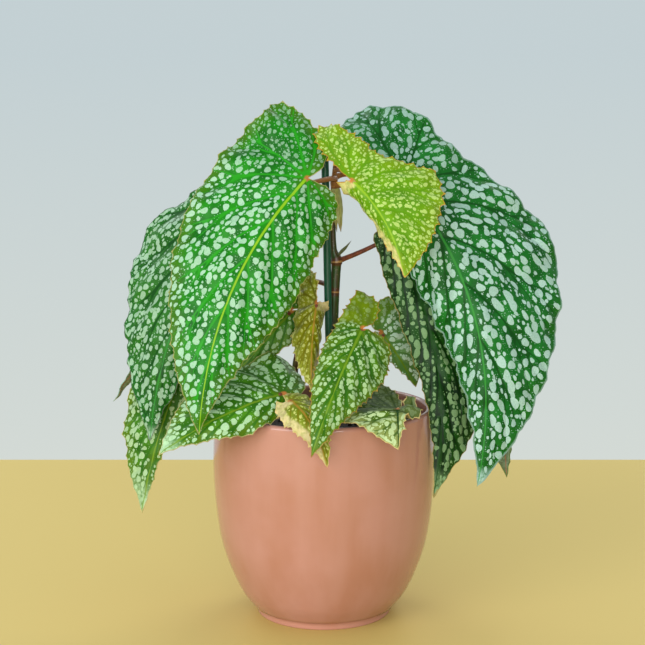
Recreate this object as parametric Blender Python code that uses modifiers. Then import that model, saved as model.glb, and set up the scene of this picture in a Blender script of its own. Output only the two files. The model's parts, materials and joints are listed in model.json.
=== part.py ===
"""Potted begonia: an angel-wing begonia with spotted leaves in a round glazed pot.

Run with: blender --background --python part.py
Metres, +Z up. The origin is the centre of the pot's flat underside. The plant is seen from -Y.
"""

from collections import namedtuple
from math import ceil, cos, pi, radians, sin, tan
from random import Random

import bmesh
import bpy
from mathutils import Vector, noise
from mathutils.geometry import delaunay_2d_cdt

MM = 0.001
GAP = 0.3 * MM

# Pot
POT_HEIGHT = 133 * MM
POT_WALL = 4.6 * MM
POT_FLOOR = 6 * MM
# How far the inside rounds over between the floor and the wall.
FLOOR_ROUND = 4.5 * MM
FOOT_RADIUS = 42.6 * MM
FOOT_HEIGHT = 4 * MM
LIP_RADIUS = 2.3 * MM
TURN_STEPS = 48
WALL_STEPS = 10
LIP_STEPS = 5
# Radius and height of the outer wall, from above the foot up to the start of the lip.
POT_WALL_MM = ((45.5, 5.2), (53.5, 16), (60.6, 32), (65.2, 47), (67.9, 63.7), (69.6, 82), (70, 100),
               (69.4, 117), (68.8, 128.5))
FOOT_BEVEL = 0.6 * MM
POT_SHARP = 40

# Soil
SOIL_TOP = 118 * MM
SOIL_LUMP = 2.2 * MM
LUMP_SIZE = 11 * MM
SOIL_CROWN = 2 * MM
SOIL_RINGS = 5
HOLE_SIDES = 20
HOLE_LENGTH = 60 * MM
# How far below the soil's top its side ends.
SOIL_SHOULDER = 3 * MM

# Stake
STAKE_RADIUS = 2.4 * MM
STAKE_FOOT = Vector((5.4, -4, 74)) * MM
STAKE_TOP = Vector((0.3, -4, 301)) * MM
STAKE_SIDES = 16
STAKE_BEVEL = 0.6 * MM
STAKE_SHARP = 50

# Curves: steps between two given points, and along a midrib before it is spaced evenly.
CURVE_STEPS = 12
MIDRIB_STEPS = 80

# Leaves
BLADE = 0.8 * MM
PETIOLE_INSET = 2.5 * MM
OUTLINE_SAMPLES = 240
MIDRIB_SAMPLES = 40
# Share of a basal lobe's length over which the midrib's fold fades out behind the sinus.
LOBE_EASE = 0.6
# Share of the blade's length at which the broad half has its full width.
SHOULDER_END = 0.3
# A tooth's peak within its pitch, its least size and how much that varies, and how fast the teeth fade in
# from the sinus and out to the tip.
TOOTH_LEAN = 0.62
TOOTH_SIZE = (0.75, 0.5)
TOOTH_FADE = (9, 6)
# How deep a bay is at its start, as a share of its depth.
BAY_START = 0.6
# The waves' offset between the two halves, and the share of the width past which they grow no more.
WAVE_SHIFT = 1.7
WAVE_SHARE = 1.2
# Points inside a blade, in spacings: from row to row, clear of the outline and clear behind the sinus.
ROW_STEP = 0.87
OUTLINE_CLEAR = 0.55
SINUS_CLEAR = 0.4

# Half outlines of a blade, from the sinus round a basal lobe to the tip. Each point gives the place along
# the midrib (behind the sinus in lobe lengths, ahead of it in blade lengths) and the share of the half's
# greatest width.
BROAD_HALF = ((0, 0), (-0.35, 0.0), (-0.8, 0.14), (-1.0, 0.42), (-0.94, 0.74), (-0.5, 0.86), (-0.1, 0.92),
              (0.15, 0.98), (0.3, 1.0), (0.47, 0.9), (0.6, 0.72), (0.76, 0.46), (0.9, 0.19), (1.0, 0.0))
NARROW_HALF = ((0, 0), (-0.5, 0.25), (-0.9, 0.5), (-0.4, 0.74), (0.05, 0.9), (0.2, 1.0), (0.42, 0.84),
               (0.6, 0.58), (0.78, 0.31), (0.92, 0.11), (1.0, 0.0))
# How much of the wrap each of the broad lobe's points takes.
WRAP_SHIFT = {-0.35: 1.0, -0.8: 0.9, -1.0: 0.4}
# Which point of the broad half is the corner that a leaf's peak moves, and how much wider that makes it.
LOBE_CORNER = -0.94
CORNER_SPREAD = 0.65
BRACT_HALF = ((0, 0), (0.0, 0.75), (0.2, 1.0), (0.45, 0.85), (0.75, 0.4), (1.0, 0.0))

# One leaf, in millimetres and degrees.
# sinus, tip: the two ends of the midrib.
# face: where the upper side looks. belly: how far the midrib's handle bows out that way. bow: the same to
# the broad side, in the blade's own plane.
# side: +1 with the broad half on the left of someone who walks from sinus to tip on the upper side.
# widths, lobes, fold, curl: for the broad and the narrow half, its greatest width, the length of its basal
# lobe, how far it leans back from the face at the midrib, and how much more it leans at the margin.
# lobe_bend: how far the basal lobes have bent back at their ends. shoulder: each half's width at the sinus
# and behind it, against the usual outline. wrap: how far the broad lobe reaches over to the other side.
# taper: how much slimmer each half is between its widest place and the tip.
# peak: how much further the broad lobe's outer corner reaches back, in lobe lengths.
# wave: height and length of the waves in the margin. scallop: depth and length of its bays.
# tooth: depth and pitch of its teeth. grid: spacing of the points inside the blade.
Leaf = namedtuple("Leaf", "sinus tip face belly bow side widths lobes fold curl lobe_bend wave tooth grid "
                  "scallop shoulder wrap taper peak", defaults=((0, 10), (1, 1), 0.1, (0, 0), 0))
Frame = namedtuple("Frame", "points lengths tangents normals")

LEAVES = {
    "leaf_front_left": Leaf(
        sinus=(-9.8, -28, 278), tip=(-73.1, -75, 130.6), face=(-0.1, -0.9, 0.35), belly=22, bow=26, side=-1,
        widths=(52, 37), lobes=(32, 5), fold=(8, 20), curl=(12, 25), lobe_bend=10,
        shoulder=(1.15, 0.9), wrap=0.04, taper=(0.1, -0.4), peak=0.12,
        wave=(1.8, 30), scallop=(1.0, 22), tooth=(1.5, 7.5), grid=12),
    "leaf_left": Leaf(
        sinus=(-42.6, 0, 268), tip=(-108.5, -15, 113.3), face=(-0.4, -0.85, 0.3), belly=22, bow=20, side=-1,
        widths=(62, 40), lobes=(20, 14), fold=(10, 34), curl=(16, 30), lobe_bend=40, shoulder=(0.48, 1),
        wave=(2.6, 32), scallop=(1.8, 20), tooth=(0.8, 8), grid=13),
    "leaf_low_left": Leaf(
        sinus=(-81.7, 6, 168.6), tip=(-115.7, -4, 63.9), face=(-0.35, -0.9, 0.25), belly=10, bow=6, side=-1,
        widths=(38, 20), lobes=(22, 10), fold=(12, 20), curl=(20, 20), lobe_bend=25, taper=(-0.1, 0.5),
        wave=(2.4, 26), scallop=(0.8, 18), tooth=(1.2, 7), grid=11),
    "leaf_front_low_left": Leaf(
        sinus=(-24.2, -44, 149.5), tip=(-97.4, -74, 118.6), face=(-0.1, -0.75, 0.65),
        belly=16, bow=0, side=-1,
        widths=(43, 19), lobes=(22, 6), fold=(12, 8), curl=(20, 20), lobe_bend=20, shoulder=(1, 0.4),
        wave=(2.2, 24), scallop=(0.8, 18), tooth=(1.2, 7), grid=11),
    "leaf_behind_front_left": Leaf(
        sinus=(-20.1, -4, 194.1), tip=(-66, -4, 143), face=(-0.4, -0.8, 0.4), belly=5, bow=-4, side=-1,
        widths=(28, 13), lobes=(14, 5), fold=(12, 20), curl=(16, 20), lobe_bend=20,
        wave=(1.6, 24), scallop=(0.6, 18), tooth=(1.2, 7), grid=11),
    "leaf_young_upright": Leaf(
        sinus=(-4.3, -20, 201.5), tip=(-7.2, -42, 149.8), face=(-0.5, -0.85, 0.1), belly=6, bow=0, side=-1,
        widths=(18, 18), lobes=(22, 3), fold=(10, 80), curl=(10, 60), lobe_bend=0, wrap=-0.1,
        wave=(1.6, 13), tooth=(2.0, 5.5), grid=7),
    "leaf_young_front": Leaf(
        sinus=(23.5, -38, 188.2), tip=(-7.5, -87, 119.9), face=(0.1, -0.9, 0.4), belly=16, bow=4, side=-1,
        widths=(17, 27), lobes=(28, 4), fold=(12, 14), curl=(16, 20), lobe_bend=5, wrap=0.25,
        wave=(1.8, 17), tooth=(1.7, 5.5), grid=8),
    "leaf_back_low_right": Leaf(
        sinus=(36, 5, 179), tip=(59, 12, 142), face=(0.15, -0.9, 0.45), belly=6, bow=0, side=1,
        widths=(26, 7), lobes=(16, 3), fold=(10, 14), curl=(16, 20), lobe_bend=15,
        wave=(1.6, 20), scallop=(0.6, 14), tooth=(1.0, 6), grid=9),
    "leaf_low_right": Leaf(
        sinus=(43.7, -50, 141), tip=(43, -84, 124), face=(0, -0.6, 0.8), belly=14, bow=0, side=-1,
        widths=(32, 5), lobes=(42, 24), fold=(0, 4), curl=(6, 4), lobe_bend=-35, shoulder=(1, 3.6),
        wave=(2.4, 18), scallop=(0.6, 14), tooth=(1.5, 6), grid=9),
    "leaf_young_low_front": Leaf(
        sinus=(-20.2, -57, 147.9), tip=(2, -81, 112.7), face=(0.17, -0.67, 0.72), belly=19, bow=0, side=1,
        widths=(15, 13), lobes=(9, 5), fold=(14, 22), curl=(20, 26), lobe_bend=10,
        wave=(1.6, 13), tooth=(1.5, 5), grid=7),
    "leaf_top_right": Leaf(
        sinus=(49, -20, 274.2), tip=(91.8, -56, 94.5), face=(0.15, -0.95, 0.25), belly=22, bow=40, side=1,
        widths=(72, 34), lobes=(68, 8), fold=(10, 32), curl=(16, 36), lobe_bend=46,
        shoulder=(0.62, 1), wrap=0.28, taper=(0.04, 0), peak=-0.12,
        wave=(2.8, 32), scallop=(2.6, 22), tooth=(0.5, 8), grid=13),
    "leaf_right": Leaf(
        sinus=(40.2, 5, 242.6), tip=(66.6, -41, 83.7), face=(0.1, -0.98, 0.2), belly=10, bow=31, side=1,
        widths=(40, 18), lobes=(14, 4), fold=(14, 8), curl=(18, 16), lobe_bend=6,
        shoulder=(1, 0.7), taper=(-0.25, 0),
        wave=(2.4, 30), scallop=(1.0, 22), tooth=(0.8, 8), grid=12),
    "leaf_young_top": Leaf(
        sinus=(16, -44, 277.5), tip=(47, -66, 222), face=(0.1, -0.9, 0.4), belly=12, bow=8, side=1,
        widths=(46, 16), lobes=(46, 7), fold=(6, 50), curl=(12, 70), lobe_bend=15,
        shoulder=(0.6, 1), wrap=-0.02,
        wave=(1.6, 18), tooth=(2.2, 6), grid=9),
    "leaf_back_left": Leaf(
        sinus=(-46, 44, 220), tip=(-139, 42, 127), face=(-0.5, 0.3, 0.8), belly=24, bow=0, side=-1,
        widths=(46, 20), lobes=(26, 8), fold=(12, 24), curl=(20, 26), lobe_bend=30, taper=(0.4, 0.4),
        wave=(2.2, 36), scallop=(1.2, 24), tooth=(0.8, 8), grid=13),
    "leaf_back_right": Leaf(
        sinus=(88, 36, 228), tip=(120.6, 34, 77.3), face=(0.4, 0.85, 0.3), belly=24, bow=-8, side=1,
        widths=(46, 28), lobes=(20, 8), fold=(12, 26), curl=(20, 26), lobe_bend=30, taper=(0.2, 0.2),
        wave=(2.2, 36), scallop=(1.2, 24), tooth=(0.8, 8), grid=13),
}

# A stem with side branches. points: its centre line, radius included, from below the soil's surface up.
# Each branch is the place on the stem, the direction it leaves in, the leaf it carries and its thickness.
Shoot = namedtuple("Shoot", "points branches")
Branch = namedtuple("Branch", "start leave leaf radius")

SHOOTS = {
    "cane": Shoot(
        ((7, 2, 88, 3.3), (6.6, 2, 120, 3.3), (5.8, 2.3, 160, 3.2), (6.2, 2.5, 192, 3.1),
         (7.6, 2.5, 219, 3.0), (7.8, 2.5, 223, 3.7), (7.6, 2.5, 226, 3.4), (6, 2.5, 232, 2.1),
         (5.4, 2.5, 246, 2.0), (5.4, 2.5, 250, 2.7), (5.5, 2.5, 253, 2.0), (6, 2, 269, 1.9),
         (6.2, 1.5, 273, 2.4), (6.4, 1, 277, 1.7), (7, -1, 286, 1.2)),
        (Branch((7.8, 2.5, 224), (0.9, 0.45, 0.25), "leaf_right", 1.5),
         Branch((5.4, 2.5, 250), (-0.5, 0.8, 0.4), "leaf_left", 1.5),
         Branch((6.8, 2.5, 205), (-0.1, 0.9, 0.3), "leaf_back_left", 1.5),
         Branch((6.2, 2, 276), (0.7, 0.5, 0.4), "leaf_back_right", 1.5),
         Branch((6.1, 2, 271), (0.9, 0.3, 0.2), "leaf_top_right", 1.6),
         Branch((6.2, 1.5, 275), (0.25, -0.9, 0.3), "leaf_front_left", 1.6),
         Branch((6.6, 0, 281), (0.6, -0.7, 0.1), "leaf_young_top", 1.1))),
    "shoot_left": Shoot(
        ((-20, 4, 90, 2.4), (-20, 3, 122, 2.4), (-19, 0, 140, 2.2), (-18, -3, 158, 2.0),
         (-16.5, -4, 168, 1.6)),
        (Branch((-19, 0, 140), (-0.6, 0.4, 0.6), "leaf_low_left", 1.2),
         Branch((-18.5, -2, 152), (0.1, -0.8, 0.5), "leaf_front_low_left", 1.2),
         Branch((-17, -4, 165), (0.1, 0.1, 1.0), "leaf_behind_front_left", 1.2))),
    "shoot_front": Shoot(
        ((-6, -17, 92, 2.0), (-6, -17, 122, 2.0), (-6, -14, 150, 1.8), (-5.5, -12, 168, 1.4)),
        (Branch((-5.7, -13, 162), (-0.1, 0.3, 1.0), "leaf_young_upright", 1.0),
         Branch((-6, -16, 132), (-0.6, -0.6, 0.6), "leaf_young_low_front", 1.0))),
    "shoot_right": Shoot(
        ((23, 3, 90, 2.2), (23, 2, 122, 2.2), (23, 0, 140, 2.0), (22.5, -2, 160, 1.7)),
        (Branch((22.6, -1.5, 155), (-0.1, 0.1, 1.0), "leaf_young_front", 1.1),
         Branch((22.8, -1, 150), (0.6, 0.5, 0.7), "leaf_back_low_right", 1.1),
         Branch((23, 1.5, 127), (0.7, -0.7, 0.1), "leaf_low_right", 1.1))),
}

# Papery bracts on the cane's nodes: base, tip, where the outer side looks, and half-width.
STIPULES = {
    "stipule_upper": ((7.3, -0.8, 269.5), (10.5, -6, 243), (0.3, -1.0, 0.2), 4.6),
    "stipule_upper_slim": ((6.3, -0.6, 262), (8, -3.2, 242.5), (0.1, -1.0, 0.1), 2.0),
    "stipule_lower": ((9.3, -0.3, 228.5), (17, -1.5, 237.5), (0.5, -0.8, 0.3), 1.3),
}
STIPULE_BLADE = 0.6 * MM
BRACT_SAMPLES = 14

# A leafstalk: how many pieces long, its handles as shares of its reach, the most its last handle may rise,
# and its thickness where it starts and how much of that it loses.
STALK_STEPS = 10
STALK_HANDLES = (0.35, 0.3)
STALK_RISE = 14 * MM
STALK_START = 1.15
STALK_LOSS = 0.35
# Where the leafstalk has thinned out, and the gap between it and its blade.
STALK_THIN = 0.8
STALK_GAP = 2.2 * GAP


def clear_scene():
    for obj in list(bpy.data.objects):
        bpy.data.objects.remove(obj, do_unlink=True)


def new_collection(name):
    collection = bpy.data.collections.new(name)
    bpy.context.scene.collection.children.link(collection)
    return collection


def material(name, colour, roughness, metallic=0.0):
    mat = bpy.data.materials.new(name)
    mat.use_nodes = True
    shader = mat.node_tree.nodes["Principled BSDF"]
    shader.inputs["Base Color"].default_value = (*colour, 1.0)
    shader.inputs["Roughness"].default_value = roughness
    shader.inputs["Metallic"].default_value = metallic
    return mat


def link_mesh(name, mesh, collection, mat):
    """Make an object of a mesh, shaded smooth, in a collection."""
    obj = bpy.data.objects.new(name, mesh)
    collection.objects.link(obj)
    mesh.materials.clear()
    mesh.materials.append(mat)
    mesh.shade_smooth()
    return obj


def evaluated_mesh(obj):
    """The object's mesh with its modifiers applied, its points welded and its faces outward."""
    graph = bpy.context.evaluated_depsgraph_get()
    mesh = bpy.data.meshes.new_from_object(obj.evaluated_get(graph))
    mesh.transform(obj.matrix_world)
    bm = bmesh.new()
    bm.from_mesh(mesh)
    bmesh.ops.remove_doubles(bm, verts=bm.verts, dist=0.001 * MM)
    bmesh.ops.recalc_face_normals(bm, faces=bm.faces)
    bm.to_mesh(mesh)
    bm.free()
    return mesh


def catmull_rom(points, samples):
    """Points on a smooth curve through the given ones, evenly spaced along it."""
    ends = [points[0] * 2 - points[1]] + list(points) + [points[-1] * 2 - points[-2]]
    fine = []
    for a, b, c, d in zip(ends, ends[1:], ends[2:], ends[3:]):
        for i in range(CURVE_STEPS):
            t = i / CURVE_STEPS
            fine.append(0.5 * (2 * b + (c - a) * t + (2 * a - 5 * b + 4 * c - d) * t * t
                               + (3 * b - a - 3 * c + d) * t ** 3))
    fine.append(points[-1].copy())
    return resample(fine, samples)


def resample(points, samples):
    """The same line with evenly spaced points."""
    lengths = [0.0]
    for a, b in zip(points, points[1:]):
        lengths.append(lengths[-1] + (b - a).length)
    even = []
    k = 0
    for i in range(samples + 1):
        goal = lengths[-1] * i / samples
        while k < len(points) - 2 and lengths[k + 1] < goal:
            k += 1
        t = (goal - lengths[k]) / max(lengths[k + 1] - lengths[k], 1e-12)
        even.append(points[k].lerp(points[k + 1], min(t, 1.0)))
    return even


def arc(centre, radius, start, end, steps):
    """Points on an arc in the profile's plane, as (radius from the axis, height)."""
    angles = (start + (end - start) * i / steps for i in range(steps + 1))
    return [(centre[0] + radius * cos(a), centre[1] + radius * sin(a)) for a in angles]


def wall_curve():
    """The outer wall as evenly spaced (radius, height), from the foot up."""
    controls = [Vector((r, z)) * MM for r, z in POT_WALL_MM]
    return [tuple(p) for p in catmull_rom(controls, WALL_STEPS)]


def wall_radius(height):
    """The inner wall's radius at a height, between its profile's points."""
    wall = inner_wall()
    for (r0, z0), (r1, z1) in zip(wall, wall[1:]):
        if height <= z1:
            return r0 + (r1 - r0) * (height - z0) / (z1 - z0)
    return wall[-1][0]


def inner_wall():
    """The inner wall's (radius, height), from the floor up to just under the lip."""
    wall = [(r - POT_WALL, z) for r, z in wall_curve()]
    return [(r, z) for r, z in wall if z > POT_FLOOR + FLOOR_ROUND]


def turned(name, profile, collection, mat):
    """A body turned about Z from a closed-to-the-axis profile of (radius, height)."""
    mesh = bpy.data.meshes.new(name)
    verts = [(r, 0.0, z) for r, z in profile]
    mesh.from_pydata(verts, [(i, i + 1) for i in range(len(verts) - 1)], [])
    obj = bpy.data.objects.new(name, mesh)
    collection.objects.link(obj)
    screw = obj.modifiers.new("Turn", "SCREW")
    screw.axis = "Z"
    screw.steps = TURN_STEPS
    screw.render_steps = TURN_STEPS
    screw.use_merge_vertices = True
    screw.merge_threshold = 0.0001
    mesh.materials.append(mat)
    return obj


def make_pot(collection):
    """The glazed pot: a bellied shell with a rolled lip, on a short foot with a flat underside."""
    inner = inner_wall()
    outer = wall_curve()
    floor_edge = inner[0][0] - FLOOR_ROUND
    lip_centre = (outer[-1][0] - LIP_RADIUS, POT_HEIGHT - LIP_RADIUS)
    profile = [(0.0, POT_FLOOR), (floor_edge, POT_FLOOR)]
    profile += inner[:-1]
    profile += arc(lip_centre, LIP_RADIUS, pi, 0, LIP_STEPS)
    profile += list(reversed(outer[:-1]))
    profile += [(FOOT_RADIUS, FOOT_HEIGHT), (FOOT_RADIUS, FOOT_BEVEL), (FOOT_RADIUS - FOOT_BEVEL, 0.0)]
    profile += [(0.0, 0.0)]
    pot = turned("pot", profile, collection, material("glaze", (0.56, 0.24, 0.16), 0.12))
    smooth_by_angle(pot)


def smooth_by_angle(obj):
    """Shade smooth with sharp edges where the wall turns a corner, on the finished mesh."""
    mesh = evaluated_mesh(obj)
    mesh.shade_smooth()
    mesh.set_sharp_from_angle(angle=radians(POT_SHARP))
    obj.modifiers.clear()
    obj.data = mesh


def soil_height(radius, edge):
    """The soil's rough top: flat at the wall, a little higher in the middle."""
    return SOIL_TOP + SOIL_CROWN * (1 - (radius / edge) ** 2)


def make_soil(collection, cutters):
    """Potting soil that fills the pot, with a lumpy top and a hole for each stem and for the stake."""
    side = [(r - GAP, z) for r, z in inner_wall() if z < SOIL_TOP - SOIL_SHOULDER]
    edge = wall_radius(SOIL_TOP) - 2 * GAP
    rings = [edge * i / SOIL_RINGS for i in range(SOIL_RINGS + 1)]
    profile = [(r, soil_height(r, edge)) for r in rings]
    profile += list(reversed(side))
    profile += [(side[0][0] - FLOOR_ROUND, POT_FLOOR + GAP), (0.0, POT_FLOOR + GAP)]
    soil = turned("soil", profile, collection, material("earth", (0.018, 0.013, 0.010), 0.95))
    smooth_by_angle(soil)
    for vert in soil.data.vertices:
        radius = vert.co.xy.length
        if vert.co.z > SOIL_TOP - SOIL_CROWN and radius < edge - SOIL_CROWN:
            vert.co.z += SOIL_LUMP * noise.noise(vert.co / LUMP_SIZE)
    for name, shoot in SHOOTS.items():
        points = [Vector(p[:3]) * MM for p in shoot.points[:2]]
        cut_hole(soil, points[0], points[1], shoot.points[0][3] * MM + GAP, cutters)
    cut_hole(soil, STAKE_FOOT, STAKE_TOP, STAKE_RADIUS + GAP, cutters)


def cut_hole(body, start, end, radius, cutters):
    """Cut a plain round hole along a line, from just under its start to well above the body."""
    axis = (end - start).normalized()
    low = start - axis * GAP
    bpy.ops.mesh.primitive_cylinder_add(vertices=HOLE_SIDES, radius=radius, depth=HOLE_LENGTH,
                                        location=low + axis * HOLE_LENGTH / 2,
                                        rotation=axis.to_track_quat("Z", "Y").to_euler())
    cutter = bpy.context.object
    cutter.name = "cut_" + body.name
    move_to(cutter, cutters)
    cutter.hide_render = True
    cutter.display_type = "WIRE"
    cut = body.modifiers.new("Hole", "BOOLEAN")
    cut.operation = "DIFFERENCE"
    cut.object = cutter


def move_to(obj, collection):
    for old in list(obj.users_collection):
        old.objects.unlink(obj)
    collection.objects.link(obj)


def make_stake(collection):
    """A slim plastic plant stake with a slightly rounded top."""
    axis = STAKE_TOP - STAKE_FOOT
    bpy.ops.mesh.primitive_cylinder_add(vertices=STAKE_SIDES, radius=STAKE_RADIUS, depth=axis.length,
                                        location=(STAKE_TOP + STAKE_FOOT) / 2,
                                        rotation=axis.to_track_quat("Z", "Y").to_euler())
    stake = bpy.context.object
    stake.name = "stake"
    stake.data.materials.append(material("stake_plastic", (0.01, 0.10, 0.08), 0.35))
    move_to(stake, collection)
    bevel = stake.modifiers.new("Round", "BEVEL")
    bevel.width = STAKE_BEVEL
    bevel.segments = 2
    bevel.limit_method = "ANGLE"
    bevel.angle_limit = radians(STAKE_SHARP)
    stake.data.shade_smooth()
    stake.data.set_sharp_from_angle(angle=radians(STAKE_SHARP))


def quadratic(a, b, c, t):
    return a * (1 - t) ** 2 + b * 2 * t * (1 - t) + c * t * t


def midrib_frame(leaf):
    """The midrib in space: its points, their distance from the sinus, tangents and normals."""
    sinus, tip = Vector(leaf.sinus) * MM, Vector(leaf.tip) * MM
    face = Vector(leaf.face).normalized()
    chord = (tip - sinus).normalized()
    left = face.cross(chord).normalized()
    handle = (sinus + tip) / 2 + face * leaf.belly * MM + left * leaf.side * leaf.bow * MM
    curve = [quadratic(sinus, handle, tip, i / MIDRIB_STEPS) for i in range(MIDRIB_STEPS + 1)]
    points = resample(curve, MIDRIB_SAMPLES)
    step = (points[1] - points[0]).length
    tangents = [(b - a).normalized() for a, b in zip(points, points[1:])]
    tangents.append(tangents[-1])
    normals = [(face - t * face.dot(t)).normalized() for t in tangents]
    return Frame(points, [i * step for i in range(len(points))], tangents, normals)


def frame_at(leaf, frame, s):
    """Point, tangent and normal at a distance along the midrib. Behind the sinus the blade bends back."""
    if s < 0:
        lobe = max(leaf.lobes) * MM
        angle = radians(leaf.lobe_bend) * -s / lobe
        tangent, normal = frame.tangents[0], frame.normals[0]
        if leaf.lobe_bend:
            radius = lobe / radians(leaf.lobe_bend)
            point = frame.points[0] - tangent * radius * sin(angle) - normal * radius * (1 - cos(angle))
        else:
            point = frame.points[0] + tangent * s
        return point, tangent * cos(angle) + normal * sin(angle), normal * cos(angle) - tangent * sin(angle)
    place = min(s / frame.lengths[-1], 1.0) * (len(frame.points) - 1)
    k = min(int(place), len(frame.points) - 2)
    t = place - k
    return (frame.points[k].lerp(frame.points[k + 1], t), frame.tangents[k].lerp(frame.tangents[k + 1], t),
            frame.normals[k].lerp(frame.normals[k + 1], t))


def blade_point(leaf, frame, s, w):
    """Where the flat blade's point (s along the midrib, w to its left) lies in space."""
    point, tangent, normal = frame_at(leaf, frame, s)
    left = normal.cross(tangent).normalized()
    sign = 1 if w >= 0 else -1
    half = 0 if sign == leaf.side else 1
    width = leaf.widths[half] * MM
    fold, curl = radians(leaf.fold[half]), radians(leaf.curl[half])
    share = abs(w) / width
    if s < 0:
        fold *= max(0.0, 1 + s / (LOBE_EASE * max(leaf.lobes) * MM))
    if curl:
        across = width / curl * (sin(fold + curl * share) - sin(fold))
        back = width / curl * (cos(fold) - cos(fold + curl * share))
    else:
        across, back = abs(w) * cos(fold), abs(w) * sin(fold)
    height, length = leaf.wave[0] * MM, leaf.wave[1] * MM
    ripple = height * sin(2 * pi * s / length + WAVE_SHIFT * sign) * min(share, WAVE_SHARE) ** 2
    return point + left * sign * across + normal * (ripple - back)


def half_outline(leaf, frame, half):
    """One half's smooth outline as flat points with w positive, from the sinus to the tip."""
    shape = (BROAD_HALF, NARROW_HALF)[half]
    length = frame.lengths[-1]
    points = []
    for along, share in shape:
        scale = length if along > 0 else leaf.lobes[half] * MM
        slim = leaf.shoulder[half] + (1 - leaf.shoulder[half]) * min(1.0, max(0.0, along / SHOULDER_END))
        share *= slim
        if half == 0:
            share -= leaf.wrap * WRAP_SHIFT.get(along, 0.0)
            if along == LOBE_CORNER:
                along -= leaf.peak
                share += CORNER_SPREAD * leaf.peak
        ahead = max(0.0, (along - SHOULDER_END) / (1 - SHOULDER_END))
        share *= 1 - 4 * leaf.taper[half] * ahead * (1 - ahead)
        points.append(Vector((along * scale, share * leaf.widths[half] * MM)))
    return catmull_rom(points, OUTLINE_SAMPLES)


def toothed(leaf, line, rng):
    """The outline cut into bays and teeth that lean to the tip; both fade out at its two ends."""
    total = sum((b - a).length for a, b in zip(line, line[1:]))
    depth, pitch = leaf.tooth[0] * MM, leaf.tooth[1] * MM
    bay_depth, bay = leaf.scallop[0] * MM, leaf.scallop[1] * MM
    count = max(4, round(total / pitch))
    edge = []
    for i in range(count):
        for lean, lift in ((0.0, 0.0), (TOOTH_LEAN, 1.0)):
            place = (i + lean) / count
            k = min(int(place * (len(line) - 1)), len(line) - 2)
            point = line[k].lerp(line[k + 1], place * (len(line) - 1) - k)
            along = (line[k + 1] - line[k]).normalized()
            out = Vector((-along.y, along.x))
            fade = min(1.0, place * TOOTH_FADE[0], (1 - place) * TOOTH_FADE[1])
            size = depth * lift * (TOOTH_SIZE[0] + TOOTH_SIZE[1] * rng.random())
            dent = bay_depth * (abs(sin(pi * place * total / bay)) - BAY_START)
            edge.append(point + out * fade * (size + dent))
    return edge


def flat_blade(leaf, frame, seed):
    """The blade's flat outline: from the sinus round the broad half to the tip, back by the narrow half."""
    rng = Random(seed)
    outline = []
    for half in (0, 1):
        edge = toothed(leaf, half_outline(leaf, frame, half), rng)
        sign = leaf.side if half == 0 else -leaf.side
        edge = [Vector((p.x, p.y * sign)) for p in edge]
        if half == 0:
            outline += edge + [Vector((frame.lengths[-1], 0.0))]
        else:
            outline += list(reversed(edge[1:]))
    return outline


def inside(point, outline, margin):
    """True where a point is within the outline and at least the margin away from its corners."""
    hit = False
    for a, b in zip(outline, outline[1:] + outline[:1]):
        if (a.y > point.y) != (b.y > point.y):
            if point.x < a.x + (b.x - a.x) * (point.y - a.y) / (b.y - a.y):
                hit = not hit
    return hit and all((point - corner).length > margin for corner in outline)


def inner_points(leaf, frame, outline):
    """The midrib's points, then staggered rows of points on both sides of it."""
    grid = leaf.grid * MM
    length = frame.lengths[-1]
    rib_count = ceil(length / grid)
    rib = [Vector((length * i / rib_count, 0.0)) for i in range(1, rib_count)]
    rows = ceil(max(leaf.widths) * MM / grid) + 1
    back = ceil(max(leaf.lobes) * MM / grid) + 1
    field = []
    for row in range(-rows, rows + 1):
        for i in range(-back, rib_count + 1):
            point = Vector(((i + 0.5 * (row % 2)) * grid, row * grid * ROW_STEP))
            on_rib = row == 0 and point.x > -SINUS_CLEAR * grid
            if not on_rib and inside(point, outline, OUTLINE_CLEAR * grid):
                field.append(point)
    return rib, field


def blade_sheet(name, leaf, frame, outline):
    """The blade's middle sheet as a mesh: triangles inside the outline, bent into place."""
    rib, field = inner_points(leaf, frame, outline)
    flat = outline + rib + field
    count = len(outline)
    edges = [(i, (i + 1) % count) for i in range(count)]
    tip = next(i for i, p in enumerate(outline) if p.y == 0.0 and p.x > 0.5 * frame.lengths[-1])
    chain = [0] + list(range(count, count + len(rib))) + [tip]
    edges += list(zip(chain, chain[1:]))
    verts, _, faces, _, _, _ = delaunay_2d_cdt(flat, edges, [], 1, 1e-7)
    mesh = bpy.data.meshes.new(name)
    mesh.from_pydata([blade_point(leaf, frame, v.x, v.y) for v in verts], [], faces)
    return mesh


def thicken(obj, thickness):
    shell = obj.modifiers.new("Thickness", "SOLIDIFY")
    shell.thickness = thickness
    shell.offset = 0.0


def make_leaf(name, leaf, seed, collection, mat):
    """One leaf blade with its toothed edge, folded, cupped and waved."""
    frame = midrib_frame(leaf)
    outline = flat_blade(leaf, frame, seed)
    mesh = blade_sheet(name, leaf, frame, outline)
    thicken(link_mesh(name, mesh, collection, mat), BLADE)


def petiole_end(leaf, radius):
    """Where a leafstalk ends, just under the midrib, and the way out from there between the two halves."""
    frame = midrib_frame(leaf)
    point, tangent, normal = frame_at(leaf, frame, PETIOLE_INSET)
    broad, narrow = radians(leaf.fold[0]), radians(leaf.fold[1])
    left = normal.cross(tangent).normalized() * leaf.side
    turn = (narrow - broad) / 2
    away = left * sin(turn) - normal * cos(turn)
    lean = (narrow + broad) / 2
    reach = BLADE / 2 / cos(lean) + STALK_GAP + radius * tan(lean)
    return point + away * reach, away


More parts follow.
